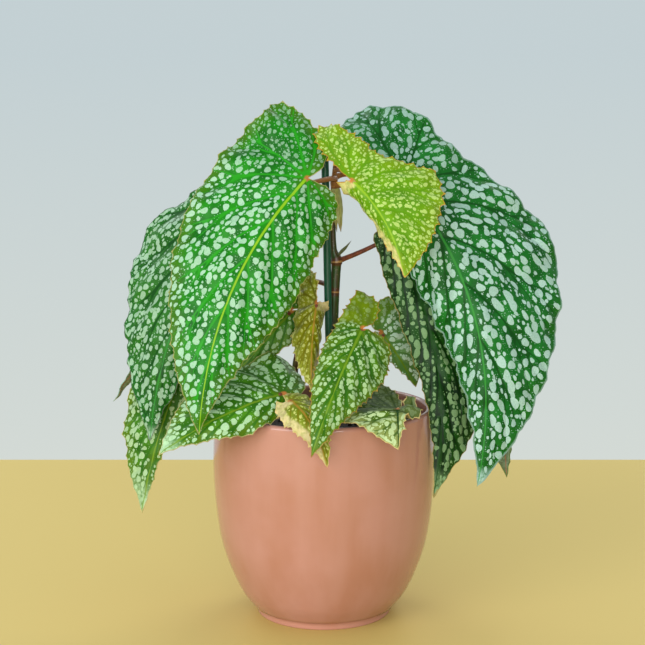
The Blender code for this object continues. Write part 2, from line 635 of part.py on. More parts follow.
def make_shoot(name, shoot, collection, mat):
    """A stem and its leafstalks, joined in one body."""
    parts = bpy.data.collections.new(name + "_parts")
    bpy.context.scene.collection.children.link(parts)
    stem = tube(name, [Vector(p[:3]) * MM for p in shoot.points], [p[3] * MM for p in shoot.points], 2)
    link_mesh(name, stem, collection, mat)
    body = bpy.data.objects[name]
    for i, branch in enumerate(shoot.branches):
        mesh = stalk(name + "_stalk", branch)
        link_mesh(f"{name}_stalk_{i}", mesh, parts, mat)
    union = body.modifiers.new("Join", "BOOLEAN")
    union.operation = "UNION"
    union.operand_type = "COLLECTION"
    union.collection = parts
    bpy.context.view_layer.update()
    joined = evaluated_mesh(body)
    body.modifiers.clear()
    body.data = joined
    joined.shade_smooth()
    for obj in list(parts.objects):
        bpy.data.objects.remove(obj, do_unlink=True)
    bpy.data.collections.remove(parts)


def stalk(name, branch):
    """A leafstalk that leaves the stem's middle and meets its blade square from below."""
    leaf = LEAVES[branch.leaf]
    radius = branch.radius * MM
    end, away = petiole_end(leaf, radius)
    start = Vector(branch.start) * MM
    reach = (end - start).length
    leave = Vector(branch.leave).normalized()
    rise = min(reach * STALK_HANDLES[1], STALK_RISE)
    handles = (start, start + leave * reach * STALK_HANDLES[0], end + away * rise, end)
    places = [i / STALK_STEPS for i in range(STALK_STEPS + 1)]
    radii = [radius * (STALK_START - STALK_LOSS * min(1, t / STALK_THIN)) for t in places]
    return tube(name, [cubic(handles, t) for t in places], radii, 1)


def cubic(handles, t):
    a, b, c, d = handles
    return a * (1 - t) ** 3 + b * 3 * t * (1 - t) ** 2 + c * 3 * t * t * (1 - t) + d * t ** 3


def tube(name, points, radii, resolution):
    """A closed round tube along points, as a mesh."""
    curve = bpy.data.curves.new(name, "CURVE")
    curve.dimensions = "3D"
    curve.bevel_depth = 1.0
    curve.bevel_resolution = resolution
    curve.use_fill_caps = True
    spline = curve.splines.new("POLY")
    spline.points.add(len(points) - 1)
    for target, point, radius in zip(spline.points, points, radii):
        target.co = (*point, 1.0)
        target.radius = radius
    obj = bpy.data.objects.new(name, curve)
    bpy.context.scene.collection.objects.link(obj)
    bpy.context.view_layer.update()
    mesh = evaluated_mesh(obj)
    bpy.data.objects.remove(obj, do_unlink=True)
    return mesh


def make_stipule(name, spec, collection, mat):
    """A narrow pointed bract, cupped towards the stem."""
    base, tip, face, half_width = spec
    leaf = Leaf(sinus=base, tip=tip, face=face, belly=2.5, bow=0, side=1, widths=(half_width, half_width),
                lobes=(1, 1), fold=(20, 20), curl=(35, 35), lobe_bend=0, wave=(0, 10), tooth=(0, 4), grid=3)
    frame = midrib_frame(leaf)
    shape = [Vector((a * frame.lengths[-1], w * half_width * MM)) for a, w in BRACT_HALF]
    half = catmull_rom(shape, BRACT_SAMPLES)
    outline = half + [Vector((p.x, -p.y)) for p in reversed(half[1:-1])]
    obj = link_mesh(name, blade_sheet(name, leaf, frame, outline), collection, mat)
    thicken(obj, STIPULE_BLADE)


def main():
    clear_scene()
    parts = new_collection("potted_begonia")
    cutters = new_collection("cutters")
    make_pot(parts)
    make_soil(parts, cutters)
    make_stake(parts)
    stem_mat = material("stem", (0.12, 0.10, 0.03), 0.5)
    for name, shoot in SHOOTS.items():
        make_shoot(name, shoot, parts, stem_mat)
    leaf_mat = material("leaf", (0.06, 0.30, 0.05), 0.4)
    for seed, (name, leaf) in enumerate(LEAVES.items()):
        make_leaf(name, leaf, seed, parts, leaf_mat)
    bract_mat = material("bract", (0.45, 0.50, 0.20), 0.5)
    for name, spec in STIPULES.items():
        make_stipule(name, spec, parts, bract_mat)


main()
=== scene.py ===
"""Looks of the potted begonia: finer leaves, stems, soil and pot, with a plain floor, lights and a camera."""

import json
from collections import namedtuple
from math import atan2, ceil, cos, exp, pi, radians, sin
from random import Random

import bpy
import numpy as np
from mathutils import Matrix, Vector, noise
from mathutils.geometry import delaunay_2d_cdt

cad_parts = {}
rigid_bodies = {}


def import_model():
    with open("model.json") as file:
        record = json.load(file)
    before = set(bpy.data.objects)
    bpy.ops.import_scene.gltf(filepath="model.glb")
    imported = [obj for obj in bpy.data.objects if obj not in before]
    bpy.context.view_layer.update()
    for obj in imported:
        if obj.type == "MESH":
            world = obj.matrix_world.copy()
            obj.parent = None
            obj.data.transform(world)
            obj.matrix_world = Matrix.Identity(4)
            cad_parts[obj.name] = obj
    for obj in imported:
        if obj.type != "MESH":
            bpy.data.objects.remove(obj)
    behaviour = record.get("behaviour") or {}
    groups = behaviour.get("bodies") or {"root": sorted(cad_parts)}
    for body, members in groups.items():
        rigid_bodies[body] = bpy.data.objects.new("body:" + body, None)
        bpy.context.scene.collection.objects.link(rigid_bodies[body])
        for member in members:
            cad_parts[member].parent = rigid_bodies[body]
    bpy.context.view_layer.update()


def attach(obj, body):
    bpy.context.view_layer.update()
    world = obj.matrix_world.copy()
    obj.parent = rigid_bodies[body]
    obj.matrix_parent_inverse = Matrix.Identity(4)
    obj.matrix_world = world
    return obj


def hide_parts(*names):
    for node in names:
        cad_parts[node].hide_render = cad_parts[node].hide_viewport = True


MM = 0.001

# Limits below which a length, a squared length, a normal and the gap between two flat points count as
# nothing, and a distance that any other one is less than.
TINY = 1e-12
TINY_SQUARE = 1e-18
TINY_NORMAL = 1e-15
SAME_POINT = 1e-7
FAR = 1e3

# Camera and picture
PICTURE = 645
SENSOR = 36.0
FOCAL_PIXELS = 1550
CAMERA_PLACE = (-0.0009, -0.960, 0.332)
CAMERA_PITCH = 8.66
VIEW_RANGE = (0.05, 20.0)

# Floor, lights and surround. The floor's far edge lies where the photo's table ends.
FLOOR_BACK = 0.40
FLOOR_FRONT = -1.8
FLOOR_SIDE = 1.6
# Each light's place, the point that it looks at, its width and height, its power in watts and its colour.
LIGHTS = {
    "window": ((-1.25, -1.5, 0.75), (0, 0, 0.16), (1.3, 1.3), 24.5, (0.96, 0.98, 1.0)),
    "front": ((0.0, -2.0, 0.6), (0, 0, 0.16), (1.4, 0.8), 19, (1.0, 0.99, 0.96)),
    "back_right": ((0.9, 1.5, 1.5), (0.5, 0.1, 0), (1.2, 1.0), 14, (1.0, 0.99, 0.95)),
    "back_left": ((-0.9, 1.3, 1.2), (0, 0, 0.2), (0.9, 0.9), 7, (0.94, 0.98, 1.0)),
}
# The surround has its low colour where the Z of the way one looks is less than the first value, and its high
# colour where it is more than the second.
WALL_BLEND = (-0.24, 0.02)

# Pot and soil, with the part's own measures
POT_HEIGHT = 133 * MM
POT_WALL = 4.6 * MM
POT_FLOOR = 6 * MM
FLOOR_ROUND = 4.5 * MM
FOOT_RADIUS = 42.6 * MM
FOOT_HEIGHT = 4 * MM
LIP_RADIUS = 2.3 * MM
POT_WALL_MM = ((45.5, 5.2), (53.5, 16), (60.6, 32), (65.2, 47), (67.9, 63.7), (69.6, 82), (70, 100),
               (69.4, 117), (68.8, 128.5))
POT_STEPS = 144
WALL_STEPS = 48
LIP_STEPS = 14
FLOOR_STEPS = 6
FOOT_STEPS = 5
FOOT_ROUND = 0.8 * MM
# Points between the wall and the foot: how far outside and above the foot's corner, in millimetres.
FOOT_FLARE = ((0.9, 0.7), (0.1, 0.0))
# The glaze's unevenness in millimetres, and the size of its lumps.
GLAZE_DEPTH = 0.12
GLAZE_SIZE = 24 * MM
SOIL_TOP = 118 * MM
SOIL_CROWN = 2 * MM
SOIL_RINGS = 46
SOIL_STEPS = 150
# Soil: its gap to the pot's wall, how far in from its edge it is rough in full, how far its edge lies below
# its top, how high its underside lies over the pot's floor, and how far down its roughness goes.
SOIL_GAP = 0.25 * MM
SOIL_SHOULDER = 3 * MM
SOIL_DROP = 1 * MM
SOIL_FOOT = 0.3 * MM
SOIL_DEPTH = 0.5 * MM
# Height and size of the soil's broad and small lumps, and the small ones' roughness, scaling and octaves.
SOIL_RISE = (1.1 * MM, 0.9 * MM)
SOIL_SIZE = (14 * MM, 4 * MM)
SOIL_FRACTAL = (0.8, 2.1, 4)
# Crumbs: their number and seed, least size and spread in millimetres, how far they stand out, the height and
# fineness of their lumps, their rings and sides, and their least shade.
CRUMBS = 420
CRUMB_SEED = 7
CRUMB_SIZE = (0.5, 1.3)
CRUMB_LIFT = 0.2
CRUMB_ROUGH = 0.35
CRUMB_LUMP = 1.7
CRUMB_RINGS = 4
CRUMB_SIDES = 7
CRUMB_TONE = 0.15

# Stake
STAKE_RADIUS = 2.4 * MM
STAKE_FOOT = Vector((5.4, -4, 74)) * MM
STAKE_TOP = Vector((0.3, -4, 301)) * MM
STAKE_SIDES = 28
# The straight part: its rings and its share of the length. Then the rounded end, as shares of length and
# radius.
STAKE_RINGS = 60
STAKE_STRAIGHT = 0.985
STAKE_END = ((0.992, 0.97), (0.996, 0.9), (0.999, 0.75), (1.0, 0.45))
# Mean radius of the stake's uneven skin, as a share of the part's.
STAKE_SLIM = 0.975

# Stems: their sides and rings, how uneven their bark is as a share of the radius, the size of its lumps, and
# how far the skin of a node reaches.
STEM_SIDES = 20
STEM_RINGS = 220
BARK_ROUGH = 0.035
BARK_SIZE = 2.2 * MM
KNOT_REACH = 2.4 * MM
# Leafstalks: how far they run straight on at each end as shares of the way, with a limit at the blade, and
# the spacing and least number of their rings. Then their thickness at the start, how much of it they lose
# and by which share of their length, and how far and how much more they widen at the stem and at the blade.
STALK_HANDLES = (0.35, 0.3)
STALK_RISE = 14 * MM
STALK_STEP = 1.6 * MM
STALK_LEAST = 12
STALK_START = 1.15
STALK_LOSS = 0.35
STALK_THIN = 0.8
STALK_FLARE = 3 * MM
ROOT_FLARE = 0.35
NECK_FLARE = 0.2

# Bracts: half their thickness, the spacing of their points, and the depth and number of their pleats.
BRACT_BLADE = 0.15 * MM
BRACT_SAMPLES = 40
BRACT_STEP = 0.7 * MM
PLEAT_DEPTH = 0.12 * MM
PLEATS = 9

# Angles in degrees from which on an edge is shaded as sharp.
SHARP_BLADE = 55
SHARP_BODY = 60

# Leaves
CURVE_STEPS = 12
MIDRIB_STEPS = 80
PETIOLE_INSET = 2.5 * MM
OUTLINE_SAMPLES = 240
MIDRIB_SAMPLES = 40
LOBE_EASE = 0.6
SHOULDER_END = 0.3
# Thickness of a blade in its middle and at its margin.
BLADE_MIDDLE = 0.6 * MM
BLADE_MARGIN = 0.36 * MM
THIN_RIM = 3 * MM
# The margin's waves: how far the two halves are out of step, and the share of the width beyond which they
# grow no more.
WAVE_SHIFT = 1.7
WAVE_SHARE = 1.2
# Teeth: the least and the spread of their size, how fast they fade in and out along the outline, and how few
# there are at least. BAY_START: how far out the bays begin.
TOOTH_SIZE = (0.75, 0.5)
TOOTH_FADE = (9, 6)
LEAST_TEETH = 4
BAY_START = 0.6
# Rows of points in the blade: their distance as a share of their spacing, and how far they keep from lines
# and from spots. RING_REACH: how far from its middle a spot is looked at.
ROW_STEP = 0.87
LINE_CLEAR = 0.5
RING_CLEAR = 0.4
RING_REACH = 4
# Share of FINE_STEP that the points of a leaf have between them, if its grid is less than each value.
STEP_SHARES = ((10, 0.6), (12, 0.8), (100, 1.0))

# Half outlines of a blade, from the sinus round a basal lobe to the tip. Each point gives the place along
# the midrib (behind the sinus in lobe lengths, ahead of it in blade lengths) and the share of the half's
# greatest width.
BROAD_HALF = ((0, 0), (-0.35, 0.0), (-0.8, 0.14), (-1.0, 0.42), (-0.94, 0.74), (-0.5, 0.86), (-0.1, 0.92),
              (0.15, 0.98), (0.3, 1.0), (0.47, 0.9), (0.6, 0.72), (0.76, 0.46), (0.9, 0.19), (1.0, 0.0))
NARROW_HALF = ((0, 0), (-0.5, 0.25), (-0.9, 0.5), (-0.4, 0.74), (0.05, 0.9), (0.2, 1.0), (0.42, 0.84),
               (0.6, 0.58), (0.78, 0.31), (0.92, 0.11), (1.0, 0.0))
# How much of the wrap each of the broad lobe's points takes.
WRAP_SHIFT = {-0.35: 1.0, -0.8: 0.9, -1.0: 0.4}
LOBE_CORNER = -0.94
CORNER_SPREAD = 0.65
BRACT_HALF = ((0, 0), (0.0, 0.75), (0.2, 1.0), (0.45, 0.85), (0.75, 0.4), (1.0, 0.0))

# One leaf, in millimetres and degrees.
# sinus, tip: the two ends of the midrib.
# face: where the upper side looks. belly: how far the midrib's handle bows out that way. bow: the same to
# the broad side, in the blade's own plane.
# side: +1 with the broad half on the left of someone who walks from sinus to tip on the upper side.
# widths, lobes, fold, curl: for the broad and the narrow half, its greatest width, the length of its basal
# lobe, how far it leans back from the face at the midrib, and how much more it leans at the margin.
# lobe_bend: how far the basal lobes have bent back at their ends. shoulder: each half's width at the sinus
# and behind it, against the usual outline. wrap: how far the broad lobe reaches over to the other side.
# taper: how much slimmer each half is between its widest place and the tip.
# wave: height and length of the waves in the margin. scallop: depth and length of its bays.
# tooth: depth and pitch of its teeth. grid: spacing of the points inside the part's blade.
# peak: how far the broad lobe's outer corner is drawn back and out, as shares of its length and width.
Leaf = namedtuple("Leaf", "sinus tip face belly bow side widths lobes fold curl lobe_bend wave tooth grid "
                  "scallop shoulder wrap taper peak", defaults=((0, 10), (1, 1), 0.1, (0, 0), 0))
Frame = namedtuple("Frame", "points lengths tangents normals")

LEAVES = {
    "leaf_front_left": Leaf(
        sinus=(-9.8, -28, 278), tip=(-73.1, -75, 130.6), face=(-0.1, -0.9, 0.35), belly=22, bow=26, side=-1,
        widths=(52, 37), lobes=(32, 5), fold=(8, 20), curl=(12, 25), lobe_bend=10,
        shoulder=(1.15, 0.9), wrap=0.04, taper=(0.1, -0.4), peak=0.12,
        wave=(1.8, 30), scallop=(1.0, 22), tooth=(1.5, 7.5), grid=12),
    "leaf_left": Leaf(
        sinus=(-42.6, 0, 268), tip=(-108.5, -15, 113.3), face=(-0.4, -0.85, 0.3), belly=22, bow=20, side=-1,
        widths=(62, 40), lobes=(20, 14), fold=(10, 34), curl=(16, 30), lobe_bend=40, shoulder=(0.48, 1),
        wave=(2.6, 32), scallop=(1.8, 20), tooth=(0.8, 8), grid=13),
    "leaf_low_left": Leaf(
        sinus=(-81.7, 6, 168.6), tip=(-115.7, -4, 63.9), face=(-0.35, -0.9, 0.25), belly=10, bow=6, side=-1,
        widths=(38, 20), lobes=(22, 10), fold=(12, 20), curl=(20, 20), lobe_bend=25, taper=(-0.1, 0.5),
        wave=(2.4, 26), scallop=(0.8, 18), tooth=(1.2, 7), grid=11),
    "leaf_front_low_left": Leaf(
        sinus=(-24.2, -44, 149.5), tip=(-97.4, -74, 118.6), face=(-0.1, -0.75, 0.65),
        belly=16, bow=0, side=-1,
        widths=(43, 19), lobes=(22, 6), fold=(12, 8), curl=(20, 20), lobe_bend=20, shoulder=(1, 0.4),
        wave=(2.2, 24), scallop=(0.8, 18), tooth=(1.2, 7), grid=11),
    "leaf_behind_front_left": Leaf(
        sinus=(-20.1, -4, 194.1), tip=(-66, -4, 143), face=(-0.4, -0.8, 0.4), belly=5, bow=-4, side=-1,
        widths=(28, 13), lobes=(14, 5), fold=(12, 20), curl=(16, 20), lobe_bend=20,
        wave=(1.6, 24), scallop=(0.6, 18), tooth=(1.2, 7), grid=11),
    "leaf_young_upright": Leaf(
        sinus=(-4.3, -20, 201.5), tip=(-7.2, -42, 149.8), face=(-0.5, -0.85, 0.1), belly=6, bow=0, side=-1,
        widths=(18, 18), lobes=(22, 3), fold=(10, 80), curl=(10, 60), lobe_bend=0, wrap=-0.1,
        wave=(1.6, 13), tooth=(2.0, 5.5), grid=7),
    "leaf_young_front": Leaf(
        sinus=(23.5, -38, 188.2), tip=(-7.5, -87, 119.9), face=(0.1, -0.9, 0.4), belly=16, bow=4, side=-1,
        widths=(17, 27), lobes=(28, 4), fold=(12, 14), curl=(16, 20), lobe_bend=5, wrap=0.25,
        wave=(1.8, 17), tooth=(1.7, 5.5), grid=8),
    "leaf_back_low_right": Leaf(
        sinus=(36, 5, 179), tip=(59, 12, 142), face=(0.15, -0.9, 0.45), belly=6, bow=0, side=1,
        widths=(26, 7), lobes=(16, 3), fold=(10, 14), curl=(16, 20), lobe_bend=15,
        wave=(1.6, 20), scallop=(0.6, 14), tooth=(1.0, 6), grid=9),
    "leaf_low_right": Leaf(
        sinus=(43.7, -50, 141), tip=(43, -84, 124), face=(0, -0.6, 0.8), belly=14, bow=0, side=-1,
        widths=(32, 5), lobes=(42, 24), fold=(0, 4), curl=(6, 4), lobe_bend=-35, shoulder=(1, 3.6),
        wave=(2.4, 18), scallop=(0.6, 14), tooth=(1.5, 6), grid=9),
    "leaf_young_low_front": Leaf(
        sinus=(-20.2, -57, 147.9), tip=(2, -81, 112.7), face=(0.17, -0.67, 0.72), belly=19, bow=0, side=1,
        widths=(15, 13), lobes=(9, 5), fold=(14, 22), curl=(20, 26), lobe_bend=10,
        wave=(1.6, 13), tooth=(1.5, 5), grid=7),
    "leaf_top_right": Leaf(
        sinus=(49, -20, 274.2), tip=(91.8, -56, 94.5), face=(0.15, -0.95, 0.25), belly=22, bow=40, side=1,
        widths=(72, 34), lobes=(68, 8), fold=(10, 32), curl=(16, 36), lobe_bend=46,
        shoulder=(0.62, 1), wrap=0.28, taper=(0.04, 0), peak=-0.12,
        wave=(2.8, 32), scallop=(2.6, 22), tooth=(0.5, 8), grid=13),
    "leaf_right": Leaf(
        sinus=(40.2, 5, 242.6), tip=(66.6, -41, 83.7), face=(0.1, -0.98, 0.2), belly=10, bow=31, side=1,
        widths=(40, 18), lobes=(14, 4), fold=(14, 8), curl=(18, 16), lobe_bend=6,
        shoulder=(1, 0.7), taper=(-0.25, 0),
        wave=(2.4, 30), scallop=(1.0, 22), tooth=(0.8, 8), grid=12),
    "leaf_young_top": Leaf(
        sinus=(16, -44, 277.5), tip=(47, -66, 222), face=(0.1, -0.9, 0.4), belly=12, bow=8, side=1,
        widths=(46, 16), lobes=(46, 7), fold=(6, 50), curl=(12, 70), lobe_bend=15,
        shoulder=(0.6, 1), wrap=-0.02,
        wave=(1.6, 18), tooth=(2.2, 6), grid=9),
    "leaf_back_left": Leaf(
        sinus=(-46, 44, 220), tip=(-139, 42, 127), face=(-0.5, 0.3, 0.8), belly=24, bow=0, side=-1,
        widths=(46, 20), lobes=(26, 8), fold=(12, 24), curl=(20, 26), lobe_bend=30, taper=(0.4, 0.4),
        wave=(2.2, 36), scallop=(1.2, 24), tooth=(0.8, 8), grid=13),
    "leaf_back_right": Leaf(
        sinus=(88, 36, 228), tip=(120.6, 34, 77.3), face=(0.4, 0.85, 0.3), belly=24, bow=-8, side=1,
        widths=(46, 28), lobes=(20, 8), fold=(12, 26), curl=(20, 26), lobe_bend=30, taper=(0.2, 0.2),
        wave=(2.2, 36), scallop=(1.2, 24), tooth=(0.8, 8), grid=13),
}

# A stem with side branches. points: its centre line, radius included, from below the soil's surface up.
# Each branch is the place on the stem, the direction it leaves in, the leaf it carries and its thickness.
Shoot = namedtuple("Shoot", "points branches")
Branch = namedtuple("Branch", "start leave leaf radius")

SHOOTS = {
    "cane": Shoot(
        ((7, 2, 88, 3.3), (6.6, 2, 120, 3.3), (5.8, 2.3, 160, 3.2), (6.2, 2.5, 192, 3.1),
         (7.6, 2.5, 219, 3.0), (7.8, 2.5, 223, 3.7), (7.6, 2.5, 226, 3.4), (6, 2.5, 232, 2.1),
         (5.4, 2.5, 246, 2.0), (5.4, 2.5, 250, 2.7), (5.5, 2.5, 253, 2.0), (6, 2, 269, 1.9),
         (6.2, 1.5, 273, 2.4), (6.4, 1, 277, 1.7), (7, -1, 286, 1.2)),
        (Branch((7.8, 2.5, 224), (0.9, 0.45, 0.25), "leaf_right", 1.5),
         Branch((5.4, 2.5, 250), (-0.5, 0.8, 0.4), "leaf_left", 1.5),
         Branch((6.8, 2.5, 205), (-0.1, 0.9, 0.3), "leaf_back_left", 1.5),
         Branch((6.2, 2, 276), (0.7, 0.5, 0.4), "leaf_back_right", 1.5),
         Branch((6.1, 2, 271), (0.9, 0.3, 0.2), "leaf_top_right", 1.6),
         Branch((6.2, 1.5, 275), (0.25, -0.9, 0.3), "leaf_front_left", 1.6),
         Branch((6.6, 0, 281), (0.6, -0.7, 0.1), "leaf_young_top", 1.1))),
    "shoot_left": Shoot(
        ((-20, 4, 90, 2.4), (-20, 3, 122, 2.4), (-19, 0, 140, 2.2), (-18, -3, 158, 2.0),
         (-16.5, -4, 168, 1.6)),
        (Branch((-19, 0, 140), (-0.6, 0.4, 0.6), "leaf_low_left", 1.2),
         Branch((-18.5, -2, 152), (0.1, -0.8, 0.5), "leaf_front_low_left", 1.2),
         Branch((-17, -4, 165), (0.1, 0.1, 1.0), "leaf_behind_front_left", 1.2))),
    "shoot_front": Shoot(
        ((-6, -17, 92, 2.0), (-6, -17, 122, 2.0), (-6, -14, 150, 1.8), (-5.5, -12, 168, 1.4)),
        (Branch((-5.7, -13, 162), (-0.1, 0.3, 1.0), "leaf_young_upright", 1.0),
         Branch((-6, -16, 132), (-0.6, -0.6, 0.6), "leaf_young_low_front", 1.0))),
    "shoot_right": Shoot(
        ((23, 3, 90, 2.2), (23, 2, 122, 2.2), (23, 0, 140, 2.0), (22.5, -2, 160, 1.7)),
        (Branch((22.6, -1.5, 155), (-0.1, 0.1, 1.0), "leaf_young_front", 1.1),
         Branch((22.8, -1, 150), (0.6, 0.5, 0.7), "leaf_back_low_right", 1.1),
         Branch((23, 1.5, 127), (0.7, -0.7, 0.1), "leaf_low_right", 1.1))),
}

# Papery bracts on the cane's nodes: base, tip, where the outer side looks, and half-width.
STIPULES = {
    "stipule_upper": ((7.3, -0.8, 269.5), (10.5, -6, 243), (0.3, -1.0, 0.2), 4.6),
    "stipule_upper_slim": ((6.3, -0.6, 262), (8, -3.2, 242.5), (0.1, -1.0, 0.1), 2.0),
    "stipule_lower": ((9.3, -0.3, 228.5), (17, -1.5, 237.5), (0.5, -0.8, 0.3), 1.3),
}

# Relief of a blade: how far it bulges between the veins, how deep the veins lie, how high its small
# swellings are, and how far the veins stand out below. RUFFLE: how far the margin waves up and down.
PUCKER = 2.0 * MM
GROOVE = 0.5 * MM
SWELL = 0.8 * MM
RIDGE = 0.9 * MM
RUFFLE = 1.9 * MM
# The side veins' share of the groove and of the ridge, and the small swellings' share of the swell.
VEIN_GROOVE = 0.5
VEIN_RIDGE = 0.4
FINE_SWELL = 0.25
# How far from a vein the bulge rises, and how wide the grooves and ridges of the midrib and of side veins
# are, in half-widths of the vein.
PUCKER_REACH = 5 * MM
GROOVE_REACH = (1.6, 2.2)
RIDGE_REACH = (1.2, 1.5)
# Within CALM_RIM of the margin the bulges and swellings sink to these shares.
CALM_RIM = 5 * MM
RIM_PUCKER = 0.3
RIM_SWELL = 0.4
# Sizes of the swellings and ruffles, how far in the ruffles reach, and how far apart two leaves' patterns
# lie.
SWELL_SIZE = 9 * MM
FINE_SIZE = 3 * MM
RUFFLE_SIZE = 6 * MM
RUFFLE_REACH = 9 * MM
SWELL_SHIFT = 3.7
RUFFLE_SHIFT = 5.1
# Half-widths of the midrib and of a side vein where they start. RIB_TAPER: shares of the midrib's length
# and its share of that width there. VEIN_TAPER, TWIG_WIDTHS: shares of a side vein's width at its end, and
# at both ends of a fork.
RIB_WIDTH = 0.75 * MM
VEIN_WIDTH = 0.38 * MM
RIB_TAPER = ((0.0, 1.0), (0.7, 0.5), (1.0, 0.25))
VEIN_TAPER = 0.35
TWIG_WIDTHS = (0.5, 0.2)
# Side veins and forks: the least share of the midrib where one starts, how much of the way to the margin it
# takes, how much it arches, its steps and its least length. A fan vein starts at the sinus.
VEIN_START = 0.004
VEIN_STOP = 0.95
TWIG_STOP = 0.93
VEIN_BEND = 0.1
FAN_BEND = 0.03
TWIG_BEND = 0.08
VEIN_STEPS = 12
TWIG_STEPS = 6
SHORTEST_VEIN = 6 * MM
SHORTEST_TWIG = 5 * MM
# Each side vein's forks: the share of its length where one leaves, and how far along the margin it aims
# away.
FORKS = ((0.5, 0.035), (0.75, -0.025))
FORK_REACH = (0.02, 0.98)
# Largest number of half-widths that is kept as the distance to a vein.
MARK_LIMIT = 30
# Spacing of the points in a large blade.
FINE_STEP = 2.0 * MM

# Spots, large ones first: least and greatest half-width as shares of the look's size, and how many are
# tried.
SPOT_TIERS = ((0.58, 1.0, 0.8), (0.3, 0.5, 0.22), (0.14, 0.26, 0.03))
# How much likelier small ones are, the shares and lengths that they keep from veins, midrib, margin and each
# other, and how far one runs into another where it may.
SPOT_BIAS = 1.3
SPOT_ROOM = 0.8 * MM
VEIN_SHARE = 0.8
VEIN_ROOM = 0.55 * MM
RIB_ROOM = 0.7 * MM
EDGE_SHARE = 1.05
EDGE_ROOM = 0.1 * MM
MERGE_SHARE = 0.4
# Half-width below which a spot has so many sides, and how deep its two kinds of dents are.
SPOT_SIDES = ((0.6 * MM, 6), (1.2 * MM, 9), (FAR, 13))
SPOT_DENTS = (0.13, 0.09)
# Least strength and spread of strength of a spot.
SPOT_TONE = (0.78, 0.22)
SPOT_SEED = 1000
# Share of each vein, from its root, that the spots keep clear of.
VEIN_CLEAR = 0.75
# Beyond this share of the midrib the spots keep clear of no side vein.
TIP_SHARE = 0.6
# Where the spots begin to get their strength back and where they have it all, in millimetres ahead of the
# sinus, and how much of a look's fade their size takes. The weaker spots towards the sinus are painted shade
# on the upturned part of the blade there; their smaller size is the leaf's own.
FADE_START = -10.0
FADE_END = 30
SHRINK = 0.7
# Spots along the margin: their pitch, least distance to it and the points of the outline that show its way,
# and in millimetres the least value and the spread of how deep they lie, their half-length and half-width.
RIM_PITCH = 3.0 * MM
RIM_CLEAR = 0.05 * MM
RIM_AHEAD = 4
RIM_DEPTH = (1.0, 0.8)
RIM_LONG = (1.8, 1.2)
RIM_WIDE = (0.65, 0.4)

# Colours
SINUS_RED = (0.52, 0.16, 0.04)
UNDER_RIB = (0.34, 0.14, 0.06)
CANE_BROWN = (0.050, 0.030, 0.004)
CANE_GREEN = (0.016, 0.062, 0.006)
SHOOT_BROWN = (0.12, 0.05, 0.015)
SHOOT_GREEN = (0.08, 0.12, 0.02)
STALK_RED = (0.21, 0.045, 0.016)
STALK_ORANGE = (0.42, 0.17, 0.045)
KNOT_RED = (0.085, 0.018, 0.006)
RING_PALE = (0.42, 0.22, 0.06)
SPECK = (0.30, 0.22, 0.12)
GLAZE = (0.47, 0.222, 0.168)
GLAZE_WARM = (0.42, 0.185, 0.122)
GLAZE_PALE = (0.50, 0.255, 0.20)
GLAZE_FOOT = (0.52, 0.24, 0.17)
FLOOR_COLOUR = (0.63, 0.465, 0.145)
WALL_COLOUR = (0.550, 0.632, 0.655)
WALL_LOW = (0.655, 0.70, 0.665)
SOIL_DARK = (0.006, 0.004, 0.003)
SOIL_LIGHT = (0.035, 0.024, 0.014)
CRUMB_BROWN = (0.06, 0.04, 0.022)
CRUMB_PALE = (0.40, 0.34, 0.24)
STAKE_GREENS = ((0.0015, 0.062, 0.030), (0.003, 0.095, 0.048))
# A bract's skin, and its tip and margin.
BRACT_COLOURS = {
    "stipule_upper": ((0.50, 0.50, 0.15), (0.22, 0.14, 0.05)),
    "stipule_upper_slim": ((0.44, 0.40, 0.11), (0.14, 0.07, 0.02)),
    "stipule_lower": ((0.10, 0.12, 0.05), (0.03, 0.02, 0.02)),
}
# Shares of a colour for its darker and paler shades.
UNDER_DARK = 0.6
UNDER_PALE = 1.25
STALK_SHADE = 0.45
BRACT_SHADE = 0.7

# Soft steps in the colours: the values between which each one runs, and the strength at either end where it
# isn't 0 and 1. Distances to the margin, the tip and the sinus are in millimetres and those to veins in
# half-widths. MIX steps are for values of noise, and heights are in metres.
EVEN_MIX = (0.35, 0.65)
SOFT_MIX = (0.3, 0.7)
SOIL_MIX = (0.35, 0.7)
FLECKS = (0.3, 0.9, 0.0, 0.35)
RIM_TINT = (1.0, 12.0, 0.8, 0.0)
VEIN_TINT = (0.6, 3.8, 0.85, 0.0)
VEIN_BARE = (1.5, 4.0)
RIB_BARE = (1.2, 3.2)
RIB_LINE = (0.8, 1.5, 1.0, 0.0)
SPOT_MOTTLE = (0.25, 0.7, 0.8, 1.05)
TIP_PATCHES = (0.3, 0.55, 0.35, 1.0)
STRIP_BAND = (4.0, 6.0, 1.0, 0.0)
STRIP_PATCHES = (0.35, 0.6, 0.55, 1.0)
SINUS_DOT = (1.0, 2.6, 0.9, 0.0)
UNDER_VEIN = (0.8, 1.8, 0.8, 0.0)
UNDER_RIB_LINE = (0.8, 1.8, 1.0, 0.0)
UNDER_MARGIN = (0.3, 0.9, 0.9, 0.0)
KNOT_TINT = (0.05, 0.6, 0.0, 0.85)
KNOT_RING = (0.9, 0.99)
ORANGE_HEIGHTS = (0.264, 0.272, 0.0, 0.75)
SPECK_EDGE = (0.1, 0.16, 0.55, 0.0)
BRACT_TIP = (0.6, 1.0, 0.0, 0.9)
BRACT_RIM = (0.75, 1.0, 0.0, 0.5)
DRIP_TINT = (0.35, 0.7, 0.0, 0.4)
FOOT_TINT = (0.002, 0.006, 0.6, 0.0)
GLAZE_ROUGH = (0.3, 0.7, 0.10, 0.16)
BROWN_CRUMBS = (0.5, 0.9, 0.0, 0.7)
PALE_CRUMBS = (0.955, 0.965, 0.0, 0.9)
